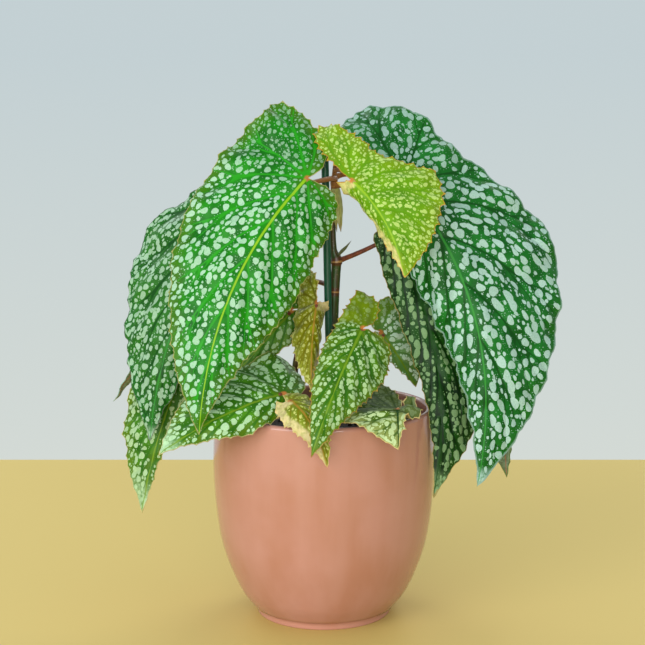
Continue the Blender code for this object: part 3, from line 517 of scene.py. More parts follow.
# Where a look's own lengths set the step: the share of the length that is covered in full, or the width of
# the step in millimetres, and the strength.
TIP_FULL = 0.3
TIP_STRENGTH = 0.85
MARGIN_FULL = 0.3
MARGIN_STRENGTH = 0.8
LOBE_EDGE = 6
LOBE_STRENGTH = 0.72
# Tiny dots: their spacing in millimetres, the factor and offset that turn a draw into a radius, their soft
# edge and their strength.
DOT_SPACING = 1.3
DOT_RADIUS = (0.5, -0.22)
DOT_EDGE = (0.0, 0.12)
DOT_STRENGTH = 0.8
# How far the patterns of two leaves lie apart along and across the blade, in millimetres.
LEAF_SHIFT = (37.0, 91.0)
# Scales along X, Y and Z of noise that is drawn out into streaks, and the scale of the bark's specks and of
# the soil's grain.
BARK_STREAKS = (700.0, 700.0, 60.0)
BRACT_STREAKS = (1200.0, 1200.0, 120.0)
STAKE_GRAIN = (900.0, 900.0, 25.0)
DRIP_SCALE = (60.0, 60.0, 7.0)
SPECK_SCALE = 420.0
SOIL_SCALE = 900.0
# Heights of the finest bumps, which only the shading shows.
LEAF_BUMP = 0.16 * MM
UNDER_BUMP = 0.14 * MM
BARK_BUMP = 0.25 * MM
BRACT_BUMP = 0.1 * MM
STAKE_BUMP = 0.1 * MM
GLAZE_BUMP = 0.05 * MM
SOIL_BUMP = 0.5 * MM
# Roughness of a blade, how much rougher its spots are, and its shine.
LEAF_ROUGH = 0.36
SPOT_ROUGH = 0.12
UNDER_ROUGH = 0.5
LEAF_SHINE = 0.16

# The shape of one tooth along the margin: place within its pitch and share of its depth.
TOOTH_SHAPE = ((0.0, 0.0), (0.14, 0.16), (0.2, 0.34), (0.26, 0.2), (0.44, 0.5), (0.62, 1.0), (0.68, 0.7),
               (0.82, 0.22))

# Side veins of the broad and of the narrow half: where each leaves the midrib, as a share of its length, and
# where it meets the margin, as a share of the half's outline from the sinus to the tip.
SIDE_VEINS = (
    ((0.0, 0.13), (0.0, 0.24), (0.0, 0.36), (0.0, 0.48), (0.08, 0.61), (0.2, 0.72), (0.36, 0.82), (0.54, 0.9),
     (0.72, 0.96)),
    ((0.0, 0.16), (0.0, 0.32), (0.06, 0.47), (0.2, 0.6), (0.36, 0.72), (0.52, 0.82), (0.7, 0.91)),
)

# Colours and marks of one leaf. deep, fresh: its two greens. spot: the pale spots. rim: the tint towards
# the margin. edge: the thin margin line and the teeth. vein, rib: side veins and midrib. under: the lower
# side. size: half-width of the largest spots in millimetres. stretch: how much longer than wide they are.
# crowd: how many there are. merge: share that may run into others. silver: share of the margin with long
# ones. strip: colour of a pale band along the narrow half's margin. lobe: a colour that veils the part
# behind the sinus, up to lobe_end millimetres ahead of it. fade: how much weaker and smaller the spots are
# at the sinus; the weakening is painted shade on the upturned part near the sinus. edge_width: width of the
# margin line in millimetres. tip: length of the silvery end in millimetres.
Look = namedtuple("Look", "deep fresh spot rim edge vein rib under size stretch crowd merge silver strip "
                  "lobe lobe_end fade edge_width tip",
                  defaults=(0.4, 1.0, 0.15, 0.0, None, None, 2.0, 0.0, 0.55, 0.0))

EMERALD = Look(
    deep=(0.001, 0.10, 0.001), fresh=(0.009, 0.22, 0.002), spot=(0.37, 0.59, 0.41), rim=(0.05, 0.15, 0.001),
    edge=(0.36, 0.32, 0.11), vein=(0.016, 0.29, 0.006), rib=(0.22, 0.43, 0.008), under=(0.22, 0.34, 0.14),
    size=2.15, stretch=0.5, crowd=0.9)
# FOREST's spots are pale on their own; their bluish-grey tint is painted sheen.
FOREST = Look(
    deep=(0.001, 0.070, 0.004), fresh=(0.008, 0.150, 0.014), spot=(0.39, 0.57, 0.50),
    rim=(0.008, 0.11, 0.008), edge=(0.13, 0.13, 0.12), vein=(0.001, 0.05, 0.002), rib=(0.02, 0.22, 0.02),
    under=(0.20, 0.30, 0.16), size=2.65, stretch=0.9, crowd=0.95, merge=0.3, silver=0.95)
OLIVE = Look(
    deep=(0.0005, 0.020, 0.0), fresh=(0.006, 0.062, 0.001), spot=(0.17, 0.30, 0.11),
    rim=(0.010, 0.050, 0.002), edge=(0.35, 0.26, 0.08), vein=(0.001, 0.014, 0.0), rib=(0.006, 0.05, 0.002),
    under=(0.22, 0.26, 0.12), size=2.2, stretch=0.9, crowd=1.6, merge=0.25, silver=0.4)
LIME = Look(
    deep=(0.085, 0.24, 0.0005), fresh=(0.14, 0.32, 0.0005), spot=(0.45, 0.61, 0.16), rim=(0.17, 0.27, 0.002),
    edge=(0.50, 0.24, 0.03), vein=(0.10, 0.27, 0.001), rib=(0.22, 0.40, 0.005), under=(0.40, 0.46, 0.16),
    size=1.2, stretch=0.8, crowd=1.1, strip=(0.62, 0.56, 0.22))
MEADOW = Look(
    deep=(0.016, 0.095, 0.001), fresh=(0.05, 0.19, 0.004), spot=(0.38, 0.55, 0.30), rim=(0.09, 0.17, 0.004),
    edge=(0.50, 0.42, 0.18), vein=(0.024, 0.13, 0.003), rib=(0.14, 0.26, 0.01), under=(0.26, 0.36, 0.18),
    size=2.2, stretch=0.6, crowd=1.6, merge=0.3)
AMBER = Look(
    deep=(0.13, 0.115, 0.0005), fresh=(0.26, 0.28, 0.003), spot=(0.54, 0.56, 0.16), rim=(0.30, 0.33, 0.03),
    edge=(0.62, 0.46, 0.18), vein=(0.16, 0.15, 0.001), rib=(0.34, 0.20, 0.02), under=(0.46, 0.40, 0.18),
    size=1.1, stretch=0.6, crowd=0.8, strip=(0.60, 0.50, 0.24))

LOOKS = {
    # Its fade weakens the spots near the sinus: painted shade on the upturned top of the blade.
    "leaf_front_left": EMERALD._replace(fade=0.45),
    "leaf_left": FOREST._replace(
        deep=(0.007, 0.085, 0.004), fresh=(0.022, 0.155, 0.010), spot=(0.32, 0.50, 0.34),
        size=2.1, stretch=0.5, crowd=1.3, merge=0.2, silver=0.3, tip=12.0),
    "leaf_low_left": MEADOW._replace(tip=26.0),
    # Greens and spots paler than MEADOW's: painted light, making up for the shade this leaf gets facing up
    # under leaf_front_left.
    "leaf_front_low_left": MEADOW._replace(
        deep=(0.02, 0.115, 0.001), fresh=(0.06, 0.23, 0.004), spot=(0.44, 0.66, 0.38), tip=18.0),
    "leaf_behind_front_left": MEADOW._replace(deep=(0.03, 0.14, 0.004), fresh=(0.10, 0.30, 0.03)),
    "leaf_young_upright": AMBER,
    "leaf_young_front": MEADOW._replace(
        deep=(0.022, 0.10, 0.0005), fresh=(0.075, 0.20, 0.002), spot=(0.38, 0.55, 0.27),
        edge=(0.36, 0.20, 0.04), size=1.5, crowd=1.1, lobe=(0.15, 0.21, 0.001)),
    # Greens, veins and spots far paler than MEADOW's: painted light, making up for the shade that leaf_right
    # casts on this leaf.
    "leaf_back_low_right": MEADOW._replace(
        deep=(0.11, 0.30, 0.08), fresh=(0.20, 0.42, 0.15), spot=(0.70, 0.90, 0.74), vein=(0.09, 0.24, 0.05),
        size=1.8, crowd=2.6, merge=0.5, silver=0.6, lobe=(0.13, 0.25, 0.008), lobe_end=-2.0),
    "leaf_low_right": OLIVE._replace(
        deep=(0.03, 0.09, 0.001), fresh=(0.10, 0.18, 0.004), spot=(0.50, 0.62, 0.30), rim=(0.30, 0.34, 0.10),
        edge=(0.66, 0.50, 0.20), vein=(0.04, 0.10, 0.008), size=1.6,
        lobe=(0.030, 0.060, 0.006), lobe_end=14.0),
    "leaf_young_low_front": AMBER._replace(deep=(0.06, 0.10, 0.001), fresh=(0.17, 0.24, 0.004)),
    # Its fade weakens the spots near the sinus: painted shade on the upturned lobes.
    "leaf_top_right": FOREST._replace(edge=(0.21, 0.33, 0.27), edge_width=1.4, fade=0.3, tip=14.0),
    "leaf_right": OLIVE._replace(spot=(0.19, 0.32, 0.14), tip=20.0),
    "leaf_young_top": LIME,
    "leaf_back_left": FOREST._replace(edge=(0.20, 0.28, 0.16)),
    "leaf_back_right": FOREST._replace(edge=(0.12, 0.20, 0.04), rim=(0.04, 0.12, 0.006)),
}


def catmull_rom(points, samples):
    """Points on a smooth curve through the given ones, evenly spaced along it."""
    ends = [points[0] * 2 - points[1]] + list(points) + [points[-1] * 2 - points[-2]]
    fine = []
    for a, b, c, d in zip(ends, ends[1:], ends[2:], ends[3:]):
        for i in range(CURVE_STEPS):
            t = i / CURVE_STEPS
            fine.append(0.5 * (2 * b + (c - a) * t + (2 * a - 5 * b + 4 * c - d) * t * t
                               + (3 * b - a - 3 * c + d) * t ** 3))
    fine.append(points[-1].copy())
    return resample(fine, samples)


def resample(points, samples):
    """The same line with evenly spaced points."""
    lengths = [0.0]
    for a, b in zip(points, points[1:]):
        lengths.append(lengths[-1] + (b - a).length)
    even = []
    k = 0
    for i in range(samples + 1):
        goal = lengths[-1] * i / samples
        while k < len(points) - 2 and lengths[k + 1] < goal:
            k += 1
        t = (goal - lengths[k]) / max(lengths[k + 1] - lengths[k], TINY)
        even.append(points[k].lerp(points[k + 1], min(t, 1.0)))
    return even


def arc(centre, radius, start, end, steps):
    """Points on an arc in the profile's plane, as (radius from the axis, height)."""
    angles = (start + (end - start) * i / steps for i in range(steps + 1))
    return [(centre[0] + radius * cos(a), centre[1] + radius * sin(a)) for a in angles]


def quadratic(a, b, c, t):
    """The point at share t of the arch from a to c, pulled towards b."""
    return a * (1 - t) ** 2 + b * 2 * t * (1 - t) + c * t * t


def midrib_frame(leaf):
    """The midrib in space: its points, their distance from the sinus, tangents and normals."""
    sinus, tip = Vector(leaf.sinus) * MM, Vector(leaf.tip) * MM
    face = Vector(leaf.face).normalized()
    chord = (tip - sinus).normalized()
    left = face.cross(chord).normalized()
    handle = (sinus + tip) / 2 + face * leaf.belly * MM + left * leaf.side * leaf.bow * MM
    arch = [quadratic(sinus, handle, tip, i / MIDRIB_STEPS) for i in range(MIDRIB_STEPS + 1)]
    points = resample(arch, MIDRIB_SAMPLES)
    step = (points[1] - points[0]).length
    tangents = [(b - a).normalized() for a, b in zip(points, points[1:])]
    tangents.append(tangents[-1])
    normals = [(face - t * face.dot(t)).normalized() for t in tangents]
    return Frame(points, [i * step for i in range(len(points))], tangents, normals)


def frame_at(leaf, frame, s):
    """Point, tangent and normal at a distance along the midrib. Behind the sinus the blade bends back."""
    if s < 0:
        lobe = max(leaf.lobes) * MM
        angle = radians(leaf.lobe_bend) * -s / lobe
        tangent, normal = frame.tangents[0], frame.normals[0]
        if leaf.lobe_bend:
            radius = lobe / radians(leaf.lobe_bend)
            point = frame.points[0] - tangent * radius * sin(angle) - normal * radius * (1 - cos(angle))
        else:
            point = frame.points[0] + tangent * s
        return point, tangent * cos(angle) + normal * sin(angle), normal * cos(angle) - tangent * sin(angle)
    place = min(s / frame.lengths[-1], 1.0) * (len(frame.points) - 1)
    k = min(int(place), len(frame.points) - 2)
    t = place - k
    return (frame.points[k].lerp(frame.points[k + 1], t), frame.tangents[k].lerp(frame.tangents[k + 1], t),
            frame.normals[k].lerp(frame.normals[k + 1], t))


def blade_point(leaf, frame, s, w):
    """Where the flat blade's point (s along the midrib, w to its left) lies in space."""
    point, tangent, normal = frame_at(leaf, frame, s)
    left = normal.cross(tangent).normalized()
    sign = 1 if w >= 0 else -1
    half = 0 if sign == leaf.side else 1
    width = leaf.widths[half] * MM
    fold, curl = radians(leaf.fold[half]), radians(leaf.curl[half])
    share = abs(w) / width
    if s < 0:
        fold *= max(0.0, 1 + s / (LOBE_EASE * max(leaf.lobes) * MM))
    if curl:
        across = width / curl * (sin(fold + curl * share) - sin(fold))
        back = width / curl * (cos(fold) - cos(fold + curl * share))
    else:
        across, back = abs(w) * cos(fold), abs(w) * sin(fold)
    height, length = leaf.wave[0] * MM, leaf.wave[1] * MM
    ripple = height * sin(2 * pi * s / length + WAVE_SHIFT * sign) * min(share, WAVE_SHARE) ** 2
    return point + left * sign * across + normal * (ripple - back)


def half_outline(leaf, frame, half):
    """One half's smooth outline as flat points with w positive, from the sinus to the tip."""
    shape = (BROAD_HALF, NARROW_HALF)[half]
    length = frame.lengths[-1]
    points = []
    for along, share in shape:
        scale = length if along > 0 else leaf.lobes[half] * MM
        slim = leaf.shoulder[half] + (1 - leaf.shoulder[half]) * min(1.0, max(0.0, along / SHOULDER_END))
        share *= slim
        if half == 0:
            share -= leaf.wrap * WRAP_SHIFT.get(along, 0.0)
            if along == LOBE_CORNER:
                along -= leaf.peak
                share += CORNER_SPREAD * leaf.peak
        ahead = max(0.0, (along - SHOULDER_END) / (1 - SHOULDER_END))
        share *= 1 - 4 * leaf.taper[half] * ahead * (1 - ahead)
        points.append(Vector((along * scale, share * leaf.widths[half] * MM)))
    return catmull_rom(points, OUTLINE_SAMPLES)


def half_sign(leaf, half):
    """+1 for a half on the left of someone who walks from sinus to tip, and -1 for one on the right."""
    return leaf.side if half == 0 else -leaf.side


def serrated(leaf, line, rng):
    """The outline cut into bays and fine teeth that lean to the tip; both fade out at its two ends."""
    total = sum((b - a).length for a, b in zip(line, line[1:]))
    depth, pitch = leaf.tooth[0] * MM, leaf.tooth[1] * MM
    bay_depth, bay = leaf.scallop[0] * MM, leaf.scallop[1] * MM
    count = max(LEAST_TEETH, round(total / pitch))
    edge = []
    for i in range(count):
        # The first of a tooth's two draws isn't used, but all later draws depend on it.
        rng.random()
        swell = TOOTH_SIZE[0] + TOOTH_SIZE[1] * rng.random()
        for lean, lift in TOOTH_SHAPE:
            place = (i + lean) / count
            k = min(int(place * (len(line) - 1)), len(line) - 2)
            point = line[k].lerp(line[k + 1], place * (len(line) - 1) - k)
            along = (line[k + 1] - line[k]).normalized()
            out = Vector((-along.y, along.x))
            fade = min(1.0, place * TOOTH_FADE[0], (1 - place) * TOOTH_FADE[1])
            dent = bay_depth * (abs(sin(pi * place * total / bay)) - BAY_START)
            edge.append(point + out * fade * (depth * lift * swell + dent))
    return edge


def flat_outline(leaf, frame, seed):
    """The blade's flat outline, round the broad half to the tip and back round the narrow one."""
    rng = Random(seed)
    halves = []
    for half in (0, 1):
        edge = serrated(leaf, half_outline(leaf, frame, half), rng)
        halves.append([Vector((p.x, p.y * half_sign(leaf, half))) for p in edge])
    broad, narrow = halves
    return broad + [Vector((frame.lengths[-1], 0.0))] + narrow[:0:-1]


def side_vein(start, end, bend, steps):
    """A side vein that arches towards the tip, as flat points."""
    handle = (start + end) / 2 + Vector((-1.0, 0.0)) * (end - start).length * bend
    return [quadratic(start, handle, end, i / steps) for i in range(steps + 1)]


def on_margin(edge, share, sign):
    """The margin's flat point at a share of a half's outline."""
    goal = edge[round(share * (len(edge) - 1))]
    return Vector((goal.x, goal.y * sign))


def vein_lines(leaf, frame):
    """All side veins with their forks, each as flat points and the half-width at its start and end."""
    length = frame.lengths[-1]
    lines = []
    for half, veins in enumerate(SIDE_VEINS):
        sign = half_sign(leaf, half)
        edge = half_outline(leaf, frame, half)
        for leave, reach in veins:
            start = Vector((max(leave, VEIN_START) * length, 0.0))
            stop = start.lerp(on_margin(edge, reach, sign), VEIN_STOP)
            if (stop - start).length < SHORTEST_VEIN:
                continue
            line = side_vein(start, stop, VEIN_BEND if leave else FAN_BEND, VEIN_STEPS)
            lines.append((line, VEIN_WIDTH, VEIN_TAPER * VEIN_WIDTH))
            for place, shift in FORKS:
                share = min(max(reach + shift, FORK_REACH[0]), FORK_REACH[1])
                root = line[round(place * VEIN_STEPS)]
                twig = root.lerp(on_margin(edge, share, sign), TWIG_STOP)
                if (twig - root).length > SHORTEST_TWIG:
                    line_of_twig = side_vein(root, twig, TWIG_BEND, TWIG_STEPS)
                    lines.append((line_of_twig, TWIG_WIDTHS[0] * VEIN_WIDTH, TWIG_WIDTHS[1] * VEIN_WIDTH))
    return lines


def to_pieces(points, line):
    """From each flat point to each piece of a line: the distance, the share along it and the piece's run."""
    a, b = line[:-1], line[1:]
    run = b - a
    size = np.maximum((run ** 2).sum(1), TINY_SQUARE)
    t = np.clip(((points[:, None] - a) * run).sum(2) / size, 0, 1)
    return np.linalg.norm(points[:, None] - (a + t[..., None] * run), axis=2), t, run


def least_distance(points, line):
    """Least distance of each flat point to a line."""
    return to_pieces(points, line)[0].min(1)


def line_distances(points, line, widths):
    """Least distance of each flat point to a line, and least distance over the line's half-width there."""
    away, t, _ = to_pieces(points, line)
    width = widths[:-1] + t * (widths[1:] - widths[:-1])
    return away.min(1), (away / width).min(1)


def closed(ring):
    """A ring of flat points with the first one again at its end."""
    return np.vstack([ring, ring[:1]])


def within(points, outline):
    """True for each flat point inside the closed outline."""
    x, y = points[:, 0][:, None], points[:, 1][:, None]
    a, b = outline, np.roll(outline, -1, 0)
    crosses = (a[:, 1] > y) != (b[:, 1] > y)
    slope = (b[:, 0] - a[:, 0]) / np.where(b[:, 1] == a[:, 1], TINY, b[:, 1] - a[:, 1])
    right = x < a[:, 0] + slope * (y - a[:, 1])
    return (crosses & right).sum(1) % 2 == 1


def as_array(points):
    return np.array([tuple(p) for p in points])


def field_points(outline, veins, rings, step):
    """Staggered rows of points inside the outline, clear of it, of the midrib, the veins and the spots."""
    low, high = outline.min(0), outline.max(0)
    rise, room = ROW_STEP * step, LINE_CLEAR * step
    rows = []
    for j in range(int((high[1] - low[1]) / rise) + 1):
        along = np.arange(low[0] + 0.5 * step * (j % 2), high[0], step)
        rows.append(np.column_stack([along, np.full(len(along), low[1] + rise * j)]))
    field = np.concatenate(rows)
    field = field[within(field, outline)]
    clear = least_distance(field, closed(outline)) > room
    clear &= (np.abs(field[:, 1]) > room) | (field[:, 0] < 0)
    for line, _, _ in veins:
        clear &= least_distance(field, as_array(line)) > room
    for ring in map(as_array, rings):
        near = np.linalg.norm(field - ring.mean(0), axis=1) < RING_REACH * step
        clear[near] &= least_distance(field[near], closed(ring)) > RING_CLEAR * step
    return [Vector(p) for p in field[clear]]


def nearest_way(points, lines):
    """For each flat point: distance to the nearest line and the angle at which that line runs there."""
    best, turn = np.full(len(points), FAR), np.zeros(len(points))
    for line in lines:
        away, _, run = to_pieces(points, line)
        k = away.argmin(1)
        near = away.min(1)
        closer = near < best
        best = np.where(closer, near, best)
        turn = np.where(closer, np.arctan2(run[k, 1], run[k, 0]), turn)
    return best, turn


def spot_ring(x, y, turn, half_long, half_wide, rng):
    """The outline of one spot: an ellipse with soft dents."""
    sides = next(count for limit, count in SPOT_SIDES if half_wide < limit)
    first, second = 2 * pi * rng.random(), 2 * pi * rng.random()
    ring = []
    for k in range(sides):
        a = 2 * pi * k / sides
        size = 1 + SPOT_DENTS[0] * sin(2 * a + first) + SPOT_DENTS[1] * sin(3 * a + second)
        u, v = half_long * size * cos(a), half_wide * size * sin(a)
        ring.append(Vector((x + u * cos(turn) - v * sin(turn), y + u * sin(turn) + v * cos(turn))))
    return ring


def lay_spots(look, outline, veins, length, rng):
    """Spots between the veins, large ones first, each turned along its nearest vein. Gives their outlines."""
    rib = np.array([(0.0, 0.0), (length, 0.0)])
    lines = [as_array(line[:1 + round(VEIN_CLEAR * (len(line) - 1))]) for line, _, _ in veins
             if line[0].x < TIP_SHARE * length]
    low, high = outline.min(0), outline.max(0)
    kept, rings = np.zeros((0, 3)), []
    for small, large, crowd in SPOT_TIERS:
        count = int(crowd * look.crowd * np.prod(high - low) / (look.size * large * MM) ** 2)
        tries = low + np.array([(rng.random(), rng.random()) for _ in range(count)]) * (high - low)
        tries = tries[within(tries, outline)]
        rim = least_distance(tries, closed(outline))
        away, turn = nearest_way(tries, lines)
        rib_away, rib_turn = nearest_way(tries, [rib])
        beside = rib_away - RIB_ROOM < away
        away = np.where(beside, rib_away - RIB_ROOM, away)
        turn = np.where(beside, rib_turn, turn)
        for (x, y), gap, angle, edge in zip(tries, away, turn, rim):
            half_wide = look.size * MM * (small + (large - small) * rng.random() ** SPOT_BIAS)
            half_wide *= 1 - SHRINK * look.fade * (1 - min(1.0, max(0.0, x / (FADE_END * MM))))
            half_long = half_wide * (1 + look.stretch * rng.random())
            if gap < VEIN_SHARE * half_wide + VEIN_ROOM or edge < EDGE_SHARE * half_long + EDGE_ROOM:
                continue
            mean = (half_wide + half_long) / 2
            room = -MERGE_SHARE * mean if rng.random() < look.merge else SPOT_ROOM
            if (np.hypot(kept[:, 0] - x, kept[:, 1] - y) < kept[:, 2] + mean + room).any():
                continue
            kept = np.vstack([kept, (x, y, mean)])
            rings.append(spot_ring(x, y, angle, half_long, half_wide, rng))
    return rings + rim_spots(look, outline, rng)


def draw(rng, span):
    """A random length between the span's least value and that value plus its spread, both in millimetres."""
    return (span[0] + span[1] * rng.random()) * MM


def rim_spots(look, outline, rng):
    """Long spots that run together along the margin."""
    rings = []
    rim = closed(outline)
    run = np.linalg.norm(np.diff(rim, axis=0), axis=1).cumsum()
    for goal in np.arange(0, run[-1], RIM_PITCH):
        if rng.random() > look.silver:
            continue
        k = min(int(np.searchsorted(run, goal)), len(outline) - 1)
        ahead = rim[(k + RIM_AHEAD) % len(outline)] - rim[k - RIM_AHEAD]
        turn = atan2(ahead[1], ahead[0])
        x, y = rim[k] + np.array([-sin(turn), cos(turn)]) * draw(rng, RIM_DEPTH)
        half_long, half_wide = draw(rng, RIM_LONG), draw(rng, RIM_WIDE)
        ring = spot_ring(x, y, turn, half_long, half_wide, rng)
        inside = within(as_array(ring), outline).all()
        if inside and least_distance(as_array(ring), rim).min() > RIM_CLEAR:
            rings.append(ring)
    return rings


def ring_edges(count):
    """The edges of a closed ring of points."""
    return [(i, (i + 1) % count) for i in range(count)]


def triangulate(flat, edges, rings):
    """Triangles between flat points along the edges: points, triangles and the rings around each one."""
    points, _, faces, _, _, inside = delaunay_2d_cdt(flat, edges, rings, 1, SAME_POINT)
    return as_array(points), np.array([f[:] for f in faces]), inside


def flat_sheet(leaf, look, frame, seed, step):
    """The flat blade cut into triangles along its outline, midrib, veins and spots.

    Gives the points, the faces, each face's spot tone, the outline and the veins."""
    outline = flat_outline(leaf, frame, seed)
    veins = vein_lines(leaf, frame)
    length = frame.lengths[-1]
    flat = list(outline)
    count = len(outline)
    edges = ring_edges(count)
    tip = next(i for i, p in enumerate(outline) if p.y == 0.0 and p.x > 0.5 * length)
    rib_count = ceil(length / step)
    flat += [Vector((length * i / rib_count, 0.0)) for i in range(1, rib_count)]
    chain = [0] + list(range(count, len(flat))) + [tip]
    edges += list(zip(chain, chain[1:]))
    for line, _, _ in veins:
        first = len(flat)
        flat += line
        edges += [(first + i, first + i + 1) for i in range(len(line) - 1)]
    rng = Random(SPOT_SEED + seed)
    outline = as_array(outline)
    rings = lay_spots(look, outline, veins, length, rng)
    spots = []
    for ring in rings:
        spots.append(list(range(len(flat), len(flat) + len(ring))))
        flat += ring
    flat += field_points(outline, veins, rings, step)
    points, faces, inside = triangulate(flat, edges, spots)
    tones = [SPOT_TONE[0] + SPOT_TONE[1] * rng.random() for _ in spots]
    tone = [max([tones[k] for k in owners], default=0.0) for owners in inside]
    return points, faces, tone, outline, veins


def leaf_marks(length, flat, outline, veins):
    """For each point: distances to margin, nearest vein and tip, and its place across the veins."""
    spine = np.array([(share * length, 0.0) for share, _ in RIB_TAPER])
    near, rib = line_distances(flat, spine, np.array([slim * RIB_WIDTH for _, slim in RIB_TAPER]))
    vein = np.full(len(flat), FAR)
    for line, wide, slim in veins:
        away, ratio = line_distances(flat, as_array(line), np.linspace(wide, slim, len(line)))
        near, vein = np.minimum(near, away), np.minimum(vein, ratio)
    return {"rim": least_distance(flat, closed(outline)), "near": near, "vein": np.minimum(vein, MARK_LIMIT),
            "rib": np.minimum(rib, MARK_LIMIT), "ahead": length - flat[:, 0]}


def sheet_normals(points, faces):
    """The mean direction that the faces look in around each point."""
    corners = points[faces]
    flat = np.cross(corners[:, 1] - corners[:, 0], corners[:, 2] - corners[:, 0])
    total = np.zeros_like(points)
    for k in range(3):
        np.add.at(total, faces[:, k], flat)
    return total / np.maximum(np.linalg.norm(total, axis=1), TINY_NORMAL)[:, None]


def hump(values, width):
    """1 where the value is nothing, and less the further it is from there."""
    return np.exp(-(values / width) ** 2)


def on_veins(marks, height, share, reach):
    """A height on the midrib, and a share of it on the side veins, that falls off to both sides."""
    return height * hump(marks["rib"], reach[0]) + share * height * hump(marks["vein"], reach[1])


def lumps(flat, size, level):
    """A smooth random height for each flat point, from lumps of one size."""
    return np.array([noise.noise((p[0] / size, p[1] / size, level)) for p in flat])


def relief(flat, marks, seed):
    """How far the blade bulges between its sunken veins, with small irregular swellings."""
    calm = np.clip(marks["rim"] / CALM_RIM, 0, 1)
    quilt = PUCKER * (1 - hump(marks["near"], PUCKER_REACH)) * (RIM_PUCKER + (1 - RIM_PUCKER) * calm)
    groove = on_veins(marks, GROOVE, VEIN_GROOVE, GROOVE_REACH)
    swell = SWELL * lumps(flat, SWELL_SIZE, seed * SWELL_SHIFT) * (RIM_SWELL + (1 - RIM_SWELL) * calm)
    fine = FINE_SWELL * SWELL * lumps(flat, FINE_SIZE, seed * SWELL_SHIFT) * calm
    fray = (1 - np.clip(marks["rim"] / RUFFLE_REACH, 0, 1)) ** 2
    return quilt - groove + swell + fine + RUFFLE * lumps(flat, RUFFLE_SIZE, seed * RUFFLE_SHIFT) * fray


def new_mesh(name, points, faces):
    mesh = bpy.data.meshes.new(name)
    mesh.from_pydata(points, [], faces)
    return mesh


def shade_soft(mesh, angle):
    """Smooth shading, with an edge kept sharp where its faces differ by more than the angle in degrees."""
    mesh.shade_smooth()
    mesh.set_sharp_from_angle(angle=radians(angle))


def shell_mesh(name, top, bottom, faces):
    """A closed thin body between an upper and a lower sheet; the lower faces take the second material."""
    count = len(top)
    upper = faces.tolist()
    lower = [(f[2] + count, f[1] + count, f[0] + count) for f in upper]
    directed = {(f[k], f[(k + 1) % 3]) for f in upper for k in range(3)}
    rim = [(a, b) for a, b in directed if (b, a) not in directed]
    sides = [(b, a, a + count, b + count) for a, b in sorted(rim)]
    mesh = new_mesh(name, np.vstack([top, bottom]).tolist(), upper + lower + sides)
    slots = [0] * len(upper) + [1] * len(lower) + [0] * len(sides)
    mesh.polygons.foreach_set("material_index", slots)
    shade_soft(mesh, SHARP_BLADE)
    return mesh


def add_attribute(mesh, name, values, kind="FLOAT", domain="POINT"):
    """Store values on a mesh, for its material."""
    values = np.asarray(values, float)
    layer = mesh.attributes.new(name, kind, domain)
    layer.data.foreach_set("vector" if kind == "FLOAT_VECTOR" else "value", values.ravel())


def mark_sheet(mesh, name, values, kind="FLOAT"):
    """Store the flat points' values on both sides of a shell."""
    add_attribute(mesh, name, np.concatenate([values, values]), kind)


def add_object(name, data):
    obj = bpy.data.objects.new(name, data)
    bpy.context.scene.collection.objects.link(obj)
    return obj


def add_piece(name, mesh, materials, node):
    """Show a mesh in place of a CAD node."""
    obj = add_object(name, mesh)
    for mat in materials:
        mesh.materials.append(mat)
    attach(obj, "root")
    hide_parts(node)


def blade_mesh(name, leaf, look, seed, step):
    """One fine leaf blade with its marks stored on its points."""
    frame = midrib_frame(leaf)
    flat, faces, tone, outline, veins = flat_sheet(leaf, look, frame, seed, step)
    marks = leaf_marks(frame.lengths[-1], flat, outline, veins)
    middle = as_array([blade_point(leaf, frame, x, y) for x, y in flat])
    middle = middle + sheet_normals(middle, faces) * relief(flat, marks, seed)[:, None]
    normals = sheet_normals(middle, faces)
    thin = np.clip(marks["rim"] / THIN_RIM, 0, 1)
    above = (BLADE_MARGIN + (BLADE_MIDDLE - BLADE_MARGIN) * thin) / 2
    ridge = on_veins(marks, RIDGE, VEIN_RIDGE, RIDGE_REACH)
    below = above + ridge * thin
    mesh = shell_mesh(name, middle + normals * above[:, None], middle - normals * below[:, None], faces)
    mark_sheet(mesh, "flat", np.column_stack([flat / MM, np.zeros(len(flat))]), "FLOAT_VECTOR")
    for key, unit in (("rim", MM), ("vein", 1), ("rib", 1), ("ahead", MM)):
        mark_sheet(mesh, key, marks[key] / unit)
    mark_sheet(mesh, "narrow", np.clip(-leaf.side * flat[:, 1] / MM, 0, 1))
    spots = np.zeros(len(mesh.polygons))
    spots[:len(faces)] = tone
    add_attribute(mesh, "spot", spots, domain="FACE")
    return mesh


